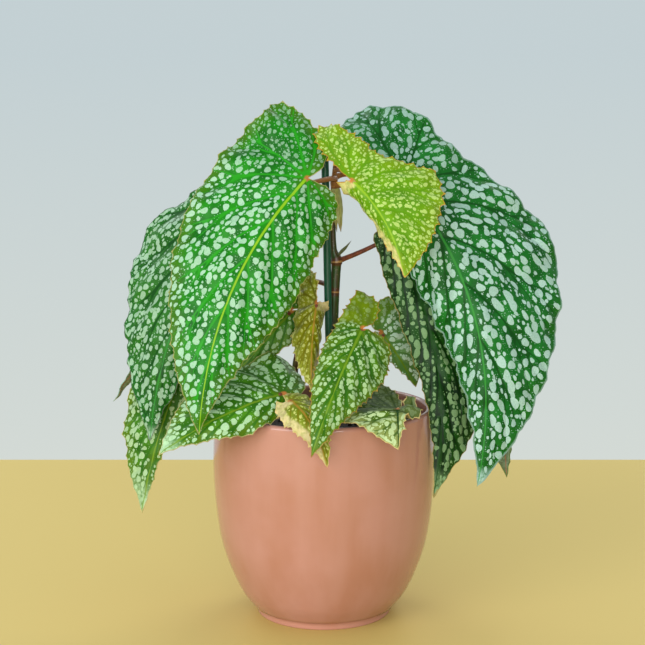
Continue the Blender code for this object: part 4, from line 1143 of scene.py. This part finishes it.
class Graph:
    """Short ways to add and link the nodes of one material."""

    def __init__(self, name):
        self.material = bpy.data.materials.new(name)
        self.material.use_nodes = True
        self.nodes = self.material.node_tree.nodes
        self.links = self.material.node_tree.links
        self.shader = self.nodes["Principled BSDF"]

    def put(self, socket, value):
        """Link a socket to another one, or set it to a plain value."""
        if isinstance(value, bpy.types.NodeSocket):
            self.links.new(value, socket)
        elif isinstance(value, tuple) and len(value) == 3 and socket.type == "RGBA":
            socket.default_value = (*value, 1.0)
        else:
            socket.default_value = value

    def add(self, kind, inputs, **settings):
        node = self.nodes.new(kind)
        for key, value in settings.items():
            setattr(node, key, value)
        for key, value in inputs.items():
            self.put(node.inputs[key], value)
        return node

    def math(self, operation, a, b=0.0, c=0.0):
        return self.add("ShaderNodeMath", {0: a, 1: b, 2: c}, operation=operation).outputs[0]

    def times(self, a, b):
        return self.math("MULTIPLY", a, b)

    def smooth(self, value, low, high, start=0.0, end=1.0):
        """A soft step from start at low to end at high."""
        inputs = {"Value": value, "From Min": low, "From Max": high, "To Min": start, "To Max": end}
        return self.add("ShaderNodeMapRange", inputs, interpolation_type="SMOOTHSTEP").outputs[0]

    def mix(self, factor, a, b):
        return self.add("ShaderNodeMix", {0: factor, 6: a, 7: b}, data_type="RGBA").outputs[2]

    def tint(self, colour, other, value, step):
        """Cover a colour with another one, as strongly as a soft step of the value says."""
        return self.mix(self.smooth(value, *step), colour, other)

    def attribute(self, name, output="Fac"):
        return self.add("ShaderNodeAttribute", {}, attribute_name=name).outputs[output]

    def object_place(self):
        return self.add("ShaderNodeTexCoord", {}).outputs["Object"]

    def part(self, vector, axis):
        return self.add("ShaderNodeSeparateXYZ", {0: vector}).outputs[axis]

    def noise(self, place, scale, detail=2.0):
        inputs = {"Vector": place, "Scale": scale, "Detail": detail}
        return self.add("ShaderNodeTexNoise", inputs).outputs["Fac"]

    def shift(self, place, offset=(0.0, 0.0, 0.0), scale=(1.0, 1.0, 1.0)):
        return self.add("ShaderNodeMapping", {"Vector": place, "Location": offset, "Scale": scale}).outputs[0]

    def streaks(self, place, scale, detail):
        """Noise with its own scale along each axis."""
        return self.noise(self.shift(place, scale=scale), 1.0, detail)

    def bump(self, height, distance):
        inputs = {"Height": height, "Distance": distance, "Strength": 1.0}
        self.put(self.shader.inputs["Normal"], self.add("ShaderNodeBump", inputs).outputs[0])

    def finish(self, **sockets):
        """Set the shader's inputs, named with _ for each space, and give the material."""
        for name, value in sockets.items():
            self.put(self.shader.inputs[name.replace("_", " ")], value)
        return self.material


def dots(g, place):
    """Tiny pale dots in some places."""
    inputs = {"Vector": place, "Scale": 1 / DOT_SPACING}
    cells = g.add("ShaderNodeTexVoronoi", inputs, voronoi_dimensions="2D")
    draws = g.add("ShaderNodeSeparateColor", {"Color": cells.outputs["Color"]})
    radius = g.math("MULTIPLY_ADD", draws.outputs[0], *DOT_RADIUS)
    return g.smooth(g.math("SUBTRACT", radius, cells.outputs["Distance"]), *DOT_EDGE)


def leaf_place(g, seed):
    """The place on the flat blade in millimetres, shifted so that no two leaves have the same pattern."""
    return g.shift(g.attribute("flat", "Vector"), (seed * LEAF_SHIFT[0], seed * LEAF_SHIFT[1], 0.0))


def leaf_top(name, look, seed):
    """The upper side: two greens, pale spots between the veins, tinted margin, bright midrib."""
    g = Graph(name)
    place = leaf_place(g, seed)
    unshifted = g.attribute("flat", "Vector")
    vein, rib, rim, spot = (g.attribute(key) for key in ("vein", "rib", "rim", "spot"))
    colour = g.tint(look.deep, look.fresh, g.noise(place, 0.07), EVEN_MIX)
    colour = g.tint(colour, look.fresh, g.noise(place, 0.9, 4.0), FLECKS)
    colour = g.tint(colour, look.rim, rim, RIM_TINT)
    colour = g.tint(colour, look.vein, vein, VEIN_TINT)
    clear = g.times(g.smooth(vein, *VEIN_BARE), g.smooth(rib, *RIB_BARE))
    colour = g.mix(g.times(dots(g, place), g.times(clear, DOT_STRENGTH)), colour, look.spot)
    behind = g.part(unshifted, "X")
    mottled = g.times(spot, g.smooth(g.noise(place, 1.1, 3.0), *SPOT_MOTTLE))
    # Spots weaker towards the sinus by the look's fade: painted shade on the upturned part there.
    mottled = g.times(mottled, g.smooth(behind, FADE_START, FADE_END, 1 - look.fade, 1.0))
    colour = g.mix(mottled, colour, look.spot)
    if look.tip:
        silver = g.smooth(g.attribute("ahead"), TIP_FULL * look.tip, look.tip, TIP_STRENGTH, 0.0)
        patchy = g.smooth(g.noise(place, 0.5, 3.0), *TIP_PATCHES)
        colour = g.mix(g.times(silver, patchy), colour, look.spot)
    if look.lobe:
        veil = (look.lobe_end - LOBE_EDGE, look.lobe_end, LOBE_STRENGTH, 0.0)
        colour = g.tint(colour, look.lobe, behind, veil)
    colour = g.tint(colour, look.rib, rib, RIB_LINE)
    if look.strip:
        band = g.smooth(rim, *STRIP_BAND)
        patchy = g.smooth(g.noise(place, 0.4), *STRIP_PATCHES)
        colour = g.mix(g.times(g.times(g.attribute("narrow"), band), patchy), colour, look.strip)
    margin = (MARGIN_FULL * look.edge_width, look.edge_width, MARGIN_STRENGTH, 0.0)
    colour = g.tint(colour, look.edge, rim, margin)
    length = g.add("ShaderNodeVectorMath", {0: unshifted}, operation="LENGTH").outputs["Value"]
    colour = g.tint(colour, SINUS_RED, length, SINUS_DOT)
    g.bump(g.noise(place, 1.6, 3.0), LEAF_BUMP)
    rough = g.math("MULTIPLY_ADD", spot, SPOT_ROUGH, LEAF_ROUGH)
    return g.finish(Base_Color=colour, Roughness=rough, Specular_IOR_Level=LEAF_SHINE)


def leaf_under(name, look, seed):
    """The lower side: pale, faintly blotched, with lighter veins."""
    g = Graph(name)
    place = leaf_place(g, seed)
    vein, rib, rim = (g.attribute(key) for key in ("vein", "rib", "rim"))
    darker = tuple(UNDER_DARK * c for c in look.under)
    paler = tuple(min(1.0, UNDER_PALE * c) for c in look.under)
    colour = g.tint(look.under, darker, g.noise(place, 0.2, 4.0), EVEN_MIX)
    colour = g.tint(colour, paler, vein, UNDER_VEIN)
    colour = g.tint(colour, UNDER_RIB, rib, UNDER_RIB_LINE)
    colour = g.tint(colour, look.edge, rim, UNDER_MARGIN)
    g.bump(g.noise(place, 1.8, 3.0), UNDER_BUMP)
    return g.finish(Base_Color=colour, Roughness=UNDER_ROUGH)


def make_leaves():
    for seed, (name, leaf) in enumerate(LEAVES.items()):
        step = FINE_STEP * next(share for limit, share in STEP_SHARES if leaf.grid < limit)
        look = LOOKS[name]
        mesh = blade_mesh(name + "_fine", leaf, look, seed, step)
        mats = [leaf_top(name + "_top", look, seed), leaf_under(name + "_under", look, seed)]
        add_piece(name + "_fine", mesh, mats, name)


def petiole_end(leaf):
    """Where a leafstalk meets the blade from below, and the way out from there between the two halves."""
    frame = midrib_frame(leaf)
    point, tangent, normal = frame_at(leaf, frame, PETIOLE_INSET)
    broad, narrow = radians(leaf.fold[0]), radians(leaf.fold[1])
    left = normal.cross(tangent).normalized() * leaf.side
    turn = (narrow - broad) / 2
    return point, left * sin(turn) - normal * cos(turn)


def cubic(handles, t):
    """The point at share t of the curve with these four handles."""
    a, b, c, d = handles
    return a * (1 - t) ** 3 + b * 3 * t * (1 - t) ** 2 + c * 3 * t * t * (1 - t) + d * t ** 3


def stalk_line(branch):
    """Centre line and radii of a leafstalk, a little thicker at both ends."""
    end, away = petiole_end(LEAVES[branch.leaf])
    start = Vector(branch.start) * MM
    reach = (end - start).length
    leave = Vector(branch.leave).normalized()
    rise = min(reach * STALK_HANDLES[1], STALK_RISE)
    handles = (start, start + leave * reach * STALK_HANDLES[0], end + away * rise, end)
    count = max(STALK_LEAST, round(reach / STALK_STEP))
    points = [cubic(handles, i / count) for i in range(count + 1)]
    radii = []
    for i in range(count + 1):
        t = i / count
        slim = STALK_START - STALK_LOSS * min(1.0, t / STALK_THIN)
        root, neck = (exp(-(way / STALK_FLARE) ** 2) for way in (reach * t, reach * (1 - t)))
        radii.append(branch.radius * MM * (slim + (ROOT_FLARE * root + NECK_FLARE * neck)))
    return points, radii


def ring_frames(points):
    """A pair of crossing directions at each point of a line, that turn as little as possible."""
    tangents = [(b - a).normalized() for a, b in zip(points, points[1:])]
    tangents.append(tangents[-1])
    side = tangents[0].orthogonal().normalized()
    frames = []
    for tangent in tangents:
        side = (side - tangent * side.dot(tangent)).normalized()
        frames.append((side, tangent.cross(side)))
    return frames


class Tubes:
    """Round tubes gathered into one mesh, with values kept for each point."""

    def __init__(self, sides):
        self.sides = sides
        self.verts, self.faces = [], []
        self.marks = {"knot": [], "stalk": []}

    def add(self, points, radii, knots=(), stalk=0.0):
        """One closed tube. knots: places with a node, for the darker skin and the pale ring there."""
        first = len(self.verts)
        for point, radius, (u, v) in zip(points, radii, ring_frames(points)):
            knot = max([exp(-((point - k).length / KNOT_REACH) ** 2) for k in knots], default=0.0)
            for j in range(self.sides):
                a = 2 * pi * j / self.sides
                out = (u * cos(a) + v * sin(a)) * radius
                rough = 1 + BARK_ROUGH * noise.noise((point + out) / BARK_SIZE)
                self.verts.append(point + out * rough)
                self.marks["knot"].append(knot)
                self.marks["stalk"].append(stalk)
        self.skin(first, len(points))

    def skin(self, first, rings):
        """Faces around the last tube and over its two ends."""
        n = self.sides
        for i in range(rings - 1):
            for j in range(n):
                a, b = first + i * n + j, first + i * n + (j + 1) % n
                self.faces.append((a, b, b + n, a + n))
        self.faces.append(tuple(first + j for j in reversed(range(n))))
        self.faces.append(tuple(first + (rings - 1) * n + j for j in range(n)))

    def mesh(self, name):
        mesh = new_mesh(name, [tuple(v) for v in self.verts], self.faces)
        shade_soft(mesh, SHARP_BODY)
        for key, values in self.marks.items():
            add_attribute(mesh, key, values)
        return mesh


def stem_material(name, bark, young):
    """Jointed stem: streaky bark, redder at the nodes, with pale rings, specks and red leafstalks."""
    g = Graph(name)
    place = g.object_place()
    knot = g.attribute("knot")
    streaks = g.streaks(place, BARK_STREAKS, 4.0)
    colour = g.tint(bark, young, streaks, EVEN_MIX)
    colour = g.tint(colour, KNOT_RED, knot, KNOT_TINT)
    colour = g.tint(colour, RING_PALE, knot, KNOT_RING)
    shaded = tuple(STALK_SHADE * c for c in STALK_RED)
    colour = g.mix(g.attribute("stalk"), colour, g.tint(STALK_RED, shaded, streaks, SOFT_MIX))
    colour = g.tint(colour, STALK_ORANGE, g.part(place, "Z"), ORANGE_HEIGHTS)
    cells = g.add("ShaderNodeTexVoronoi", {"Vector": place, "Scale": SPECK_SCALE})
    colour = g.tint(colour, SPECK, cells.outputs["Distance"], SPECK_EDGE)
    g.bump(streaks, BARK_BUMP)
    return g.finish(Base_Color=colour, Roughness=0.38, Coat_Weight=0.1, Coat_Roughness=0.2)


def make_stems():
    """The cane and the basal stems with their leafstalks."""
    for name, shoot in SHOOTS.items():
        tubes = Tubes(STEM_SIDES)
        line = catmull_rom([Vector(p) * MM for p in shoot.points], STEM_RINGS)
        knots = [Vector(b.start) * MM for b in shoot.branches]
        tubes.add([Vector(p[:3]) for p in line], [p[3] for p in line], knots)
        for branch in shoot.branches:
            tubes.add(*stalk_line(branch), stalk=1.0)
        bark, young = (CANE_BROWN, CANE_GREEN) if name == "cane" else (SHOOT_BROWN, SHOOT_GREEN)
        mat = stem_material(name + "_skin", bark, young)
        add_piece(name + "_fine", tubes.mesh(name + "_fine"), [mat], name)


def bract_leaf(spec):
    """A bract as a small leaf with two like halves."""
    base, tip, face, half_width = spec
    return Leaf(sinus=base, tip=tip, face=face, belly=2.5, bow=0, side=1, widths=(half_width, half_width),
                lobes=(1, 1), fold=(20, 20), curl=(35, 35), lobe_bend=0, wave=(0.25, 7), tooth=(0, 4), grid=3)


def bract_mesh(name, spec, seed):
    """A papery bract with lengthwise pleats."""
    leaf = bract_leaf(spec)
    frame = midrib_frame(leaf)
    half_width = spec[3] * MM
    length = frame.lengths[-1]
    half = catmull_rom([Vector((a * length, w * half_width)) for a, w in BRACT_HALF], BRACT_SAMPLES)
    outline = half + [Vector((p.x, -p.y)) for p in reversed(half[1:-1])]
    flat = outline + field_points(as_array(outline), [], [], BRACT_STEP)
    flat, faces, _ = triangulate(flat, ring_edges(len(outline)), [])
    middle = as_array([blade_point(leaf, frame, x, y) for x, y in flat])
    normals = sheet_normals(middle, faces)
    pleat = PLEAT_DEPTH * np.sin(flat[:, 1] / half_width * PLEATS + seed)
    middle = middle + normals * pleat[:, None]
    mesh = shell_mesh(name, middle + normals * BRACT_BLADE, middle - normals * BRACT_BLADE, faces)
    mark_sheet(mesh, "tipward", flat[:, 0] / length)
    mark_sheet(mesh, "across", np.abs(flat[:, 1]) / half_width)
    return mesh


def bract_material(name, pale, tip):
    """Papery skin with fine streaks along it, darker towards the tip and the margin."""
    g = Graph(name)
    streaks = g.streaks(g.object_place(), BRACT_STREAKS, 3.0)
    colour = g.tint(pale, tuple(BRACT_SHADE * c for c in pale), streaks, EVEN_MIX)
    colour = g.tint(colour, tip, g.attribute("tipward"), BRACT_TIP)
    colour = g.tint(colour, tip, g.attribute("across"), BRACT_RIM)
    g.bump(streaks, BRACT_BUMP)
    return g.finish(Base_Color=colour, Roughness=0.45)


def make_bracts():
    for seed, (name, spec) in enumerate(STIPULES.items()):
        mesh = bract_mesh(name + "_fine", spec, seed)
        mat = bract_material(name + "_skin", *BRACT_COLOURS[name])
        add_piece(name + "_fine", mesh, [mat, mat], name)


def lathe(name, profile, steps, shape):
    """A body turned about Z from a profile of (radius, height) whose two ends lie on the axis.

    shape moves each point off the axis. All faces look outward, from the sign of the body's volume."""
    verts = [(0.0, 0.0, profile[0][1])]
    inner = profile[1:-1]
    for r, z in inner:
        for j in range(steps):
            a = 2 * pi * j / steps
            verts.append(tuple(shape(Vector((r * cos(a), r * sin(a), z)))))
    verts.append((0.0, 0.0, profile[-1][1]))
    last = 1 + (len(inner) - 1) * steps
    faces = []
    for j in range(steps):
        k = (j + 1) % steps
        faces.append((0, 1 + j, 1 + k))
        for i in range(len(inner) - 1):
            a, b = 1 + i * steps + j, 1 + i * steps + k
            faces.append((a, a + steps, b + steps, b))
        faces.append((last + j, len(verts) - 1, last + k))
    mesh = new_mesh(name, verts, faces)
    if sum(p.center.dot(p.normal) * p.area for p in mesh.polygons) < 0:
        mesh.flip_normals()
    return mesh


def wall_curve():
    """The outer wall as evenly spaced (radius, height), from the foot up."""
    return [tuple(p) for p in catmull_rom([Vector((r, z)) * MM for r, z in POT_WALL_MM], WALL_STEPS)]


def inner_wall():
    """The inner wall's (radius, height), from the floor up to just under the lip."""
    return [(r - POT_WALL, z) for r, z in wall_curve() if z > POT_FLOOR + FLOOR_ROUND]


def pot_profile():
    """Half section of the pot, from the middle of its floor inside over the lip to that of its underside."""
    inner, outer = inner_wall(), wall_curve()
    lip = (outer[-1][0] - LIP_RADIUS, POT_HEIGHT - LIP_RADIUS)
    floor_edge = inner[0][0] - FLOOR_ROUND
    profile = [(0.0, POT_FLOOR), (0.5 * floor_edge, POT_FLOOR), (floor_edge, POT_FLOOR)]
    profile += arc((floor_edge, inner[0][1]), FLOOR_ROUND, -pi / 2, 0, FLOOR_STEPS)[1:-1]
    profile += inner[:-1]
    profile += arc(lip, LIP_RADIUS, pi, 0, LIP_STEPS)
    profile += list(reversed(outer[:-1]))
    profile += [(FOOT_RADIUS + out * MM, FOOT_HEIGHT + up * MM) for out, up in FOOT_FLARE]
    profile += [(FOOT_RADIUS, 0.5 * FOOT_HEIGHT)]
    profile += arc((FOOT_RADIUS - FOOT_ROUND, FOOT_ROUND), FOOT_ROUND, 0, -pi / 2, FOOT_STEPS)
    profile += [(0.5 * FOOT_RADIUS, 0.0), (0.0, 0.0)]
    return profile


def hand_glazed(point):
    """A point of the pot with the slight unevenness of a glazed wall."""
    if point.z < FOOT_HEIGHT or point.xy.length < FOOT_RADIUS:
        return point
    way = Vector((point.x, point.y, 0)).normalized()
    return point + way * GLAZE_DEPTH * MM * noise.noise(point / GLAZE_SIZE)


def make_pot():
    """The glazed pot, in clouded salmon pink with faint upright drips and a paler foot."""
    mesh = lathe("pot_fine", pot_profile(), POT_STEPS, hand_glazed)
    shade_soft(mesh, SHARP_BODY)
    g = Graph("pot_glaze")
    place = g.object_place()
    colour = g.tint(GLAZE, GLAZE_WARM, g.noise(place, 22.0, 3.0), EVEN_MIX)
    colour = g.tint(colour, GLAZE_PALE, g.streaks(place, DRIP_SCALE, 3.0), DRIP_TINT)
    colour = g.tint(colour, GLAZE_FOOT, g.part(place, "Z"), FOOT_TINT)
    rough = g.smooth(g.noise(place, 160.0, 4.0), *GLAZE_ROUGH)
    g.bump(g.noise(place, 90.0, 3.0), GLAZE_BUMP)
    mat = g.finish(Base_Color=colour, Roughness=rough, Specular_IOR_Level=0.4, Coat_Weight=0.15,
                   Coat_Roughness=0.05)
    add_piece("pot_fine", mesh, [mat], "pot")


def soil_rise(x, y):
    """How high the rough soil stands above its mean at a place."""
    broad = noise.noise((x / SOIL_SIZE[0], y / SOIL_SIZE[0], 0.0))
    small = noise.fractal((x / SOIL_SIZE[1], y / SOIL_SIZE[1], 5.0), *SOIL_FRACTAL)
    return SOIL_RISE[0] * broad + SOIL_RISE[1] * small


def soil_crown(share):
    """The soil's mean height at a share of its radius."""
    return SOIL_TOP + SOIL_CROWN * (1 - share ** 2)


def soil_mesh():
    """The soil's body with a rough top, and loose crumbs on it."""
    inner = [(r - SOIL_GAP, z) for r, z in inner_wall() if z < SOIL_TOP - SOIL_SHOULDER]
    edge = inner[-1][0]
    rings = [(edge * i / SOIL_RINGS, soil_crown(i / SOIL_RINGS)) for i in range(SOIL_RINGS)]
    profile = rings + [(edge, SOIL_TOP - SOIL_DROP)] + list(reversed(inner)) + [(0.0, POT_FLOOR + SOIL_FOOT)]

    def rough(point):
        if point.z < SOIL_TOP - SOIL_DEPTH:
            return point
        fade = min(1.0, (edge - point.xy.length) / SOIL_SHOULDER)
        return point + Vector((0, 0, soil_rise(point.x, point.y) * fade))

    body = lathe("soil_fine", profile, SOIL_STEPS, rough)
    verts = [tuple(v.co) for v in body.vertices]
    faces = [tuple(p.vertices) for p in body.polygons]
    shade = [0.0] * len(verts)
    rng = Random(CRUMB_SEED)
    for _ in range(CRUMBS):
        add_crumb(verts, faces, shade, rng, edge)
    body.clear_geometry()
    body.from_pydata(verts, [], faces)
    body.shade_smooth()
    add_attribute(body, "crumb", shade)
    return body


def add_crumb(verts, faces, shade, rng, edge):
    """One small uneven lump that lies on the soil."""
    far = (edge - SOIL_SHOULDER) * rng.random() ** 0.5
    turn = 2 * pi * rng.random()
    size = (CRUMB_SIZE[0] + CRUMB_SIZE[1] * rng.random() ** 2) * MM
    x, y = far * cos(turn), far * sin(turn)
    middle = Vector((x, y, soil_crown(far / edge) + soil_rise(x, y) + CRUMB_LIFT * size))
    flat = 0.5 + 0.5 * rng.random()
    tone = rng.random()
    spin = Matrix.Rotation(2 * pi * rng.random(), 3, "Z") @ Matrix.Rotation(rng.random(), 3, "X")
    pole = spin @ Vector((0, 0, size * flat))
    first = len(verts)
    verts.append(tuple(middle + pole))
    for i in range(1, CRUMB_RINGS):
        for j in range(CRUMB_SIDES):
            a, b = pi * i / CRUMB_RINGS, 2 * pi * j / CRUMB_SIDES
            way = Vector((sin(a) * cos(b), sin(a) * sin(b), flat * cos(a)))
            lump = 1 + CRUMB_ROUGH * noise.noise(way * CRUMB_LUMP + middle / MM)
            verts.append(tuple(middle + spin @ (way * size * lump)))
    verts.append(tuple(middle - pole))
    last = len(verts) - 1
    shade.extend([CRUMB_TONE + (1 - CRUMB_TONE) * tone] * (last - first + 1))
    for j in range(CRUMB_SIDES):
        k = (j + 1) % CRUMB_SIDES
        faces.append((first, first + 1 + j, first + 1 + k))
        for i in range(CRUMB_RINGS - 2):
            a, b = first + 1 + i * CRUMB_SIDES + j, first + 1 + i * CRUMB_SIDES + k
            faces.append((a, a + CRUMB_SIDES, b + CRUMB_SIDES, b))
        faces.append((last - CRUMB_SIDES + j, last, last - CRUMB_SIDES + k))


def make_soil():
    g = Graph("soil_earth")
    grain = g.noise(g.object_place(), SOIL_SCALE, 4.0)
    crumb = g.attribute("crumb")
    colour = g.tint(SOIL_DARK, SOIL_LIGHT, grain, SOIL_MIX)
    colour = g.tint(colour, CRUMB_BROWN, crumb, BROWN_CRUMBS)
    colour = g.tint(colour, CRUMB_PALE, crumb, PALE_CRUMBS)
    g.bump(grain, SOIL_BUMP)
    mat = g.finish(Base_Color=colour, Roughness=0.9)
    add_piece("soil_fine", soil_mesh(), [mat], "soil")


def make_stake():
    """The plant stake, with a slightly rounded top and a faint grain along it."""
    tubes = Tubes(STAKE_SIDES)
    rise = STAKE_TOP - STAKE_FOOT
    shares = [i / STAKE_RINGS * STAKE_STRAIGHT for i in range(STAKE_RINGS + 1)]
    radii = [STAKE_RADIUS] * len(shares) + [slim * STAKE_RADIUS for _, slim in STAKE_END]
    shares += [share for share, _ in STAKE_END]
    tubes.add([STAKE_FOOT + rise * share for share in shares], [STAKE_SLIM * r for r in radii])
    g = Graph("stake_coat")
    grain = g.streaks(g.object_place(), STAKE_GRAIN, 3.0)
    colour = g.tint(*STAKE_GREENS, grain, SOFT_MIX)
    g.bump(grain, STAKE_BUMP)
    mat = g.finish(Base_Color=colour, Roughness=0.36)
    add_piece("stake_fine", tubes.mesh("stake_fine"), [mat], "stake")


def make_floor():
    """A plain pale floor whose far edge lies where the photo's table ends."""
    corners = [(-FLOOR_SIDE, FLOOR_FRONT, 0), (FLOOR_SIDE, FLOOR_FRONT, 0), (FLOOR_SIDE, FLOOR_BACK, 0),
               (-FLOOR_SIDE, FLOOR_BACK, 0)]
    mesh = new_mesh("studio_floor", corners, [(0, 1, 2, 3)])
    floor = add_object("studio_floor", mesh)
    g = Graph("floor_paint")
    mesh.materials.append(g.finish(Base_Color=FLOOR_COLOUR, Roughness=0.6, Specular_IOR_Level=0.2))


def add_light(name, place, target, size, power, colour):
    data = bpy.data.lights.new(name, "AREA")
    data.shape = "RECTANGLE"
    data.size, data.size_y = size
    data.energy = power
    data.color = colour
    light = add_object(name, data)
    light.location = place
    light.rotation_euler = (Vector(target) - Vector(place)).to_track_quat("-Z", "Y").to_euler()
    light.visible_camera = False


def make_lights():
    """Soft daylight from the left and front, two lights from behind, and a pale surround."""
    for name, light in LIGHTS.items():
        add_light(name, *light)
    world = bpy.data.worlds.new("surround")
    world.use_nodes = True
    nodes, links = world.node_tree.nodes, world.node_tree.links
    place = nodes.new("ShaderNodeTexCoord")
    height = nodes.new("ShaderNodeSeparateXYZ")
    blend = nodes.new("ShaderNodeMapRange")
    ramp = nodes.new("ShaderNodeValToRGB")
    links.new(place.outputs["Generated"], height.inputs[0])
    links.new(height.outputs["Z"], blend.inputs["Value"])
    links.new(blend.outputs["Result"], ramp.inputs["Fac"])
    links.new(ramp.outputs["Color"], nodes["Background"].inputs["Color"])
    blend.inputs["From Min"].default_value = WALL_BLEND[0]
    blend.inputs["From Max"].default_value = WALL_BLEND[1]
    ramp.color_ramp.elements[0].color = (*WALL_LOW, 1.0)
    ramp.color_ramp.elements[1].color = (*WALL_COLOUR, 1.0)
    bpy.context.scene.world = world


def make_camera():
    data = bpy.data.cameras.new("camera")
    data.sensor_width = SENSOR
    data.lens = FOCAL_PIXELS / PICTURE * SENSOR
    data.clip_start, data.clip_end = VIEW_RANGE
    camera = add_object("camera", data)
    camera.location = CAMERA_PLACE
    camera.rotation_euler = (radians(90 - CAMERA_PITCH), 0.0, 0.0)
    bpy.context.scene.camera = camera
    bpy.context.scene.view_settings.view_transform = "Standard"


def main():
    for obj in list(bpy.data.objects):
        bpy.data.objects.remove(obj, do_unlink=True)
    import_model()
    make_pot()
    make_soil()
    make_stake()
    make_stems()
    make_leaves()
    make_bracts()
    make_floor()
    make_lights()
    make_camera()


main()
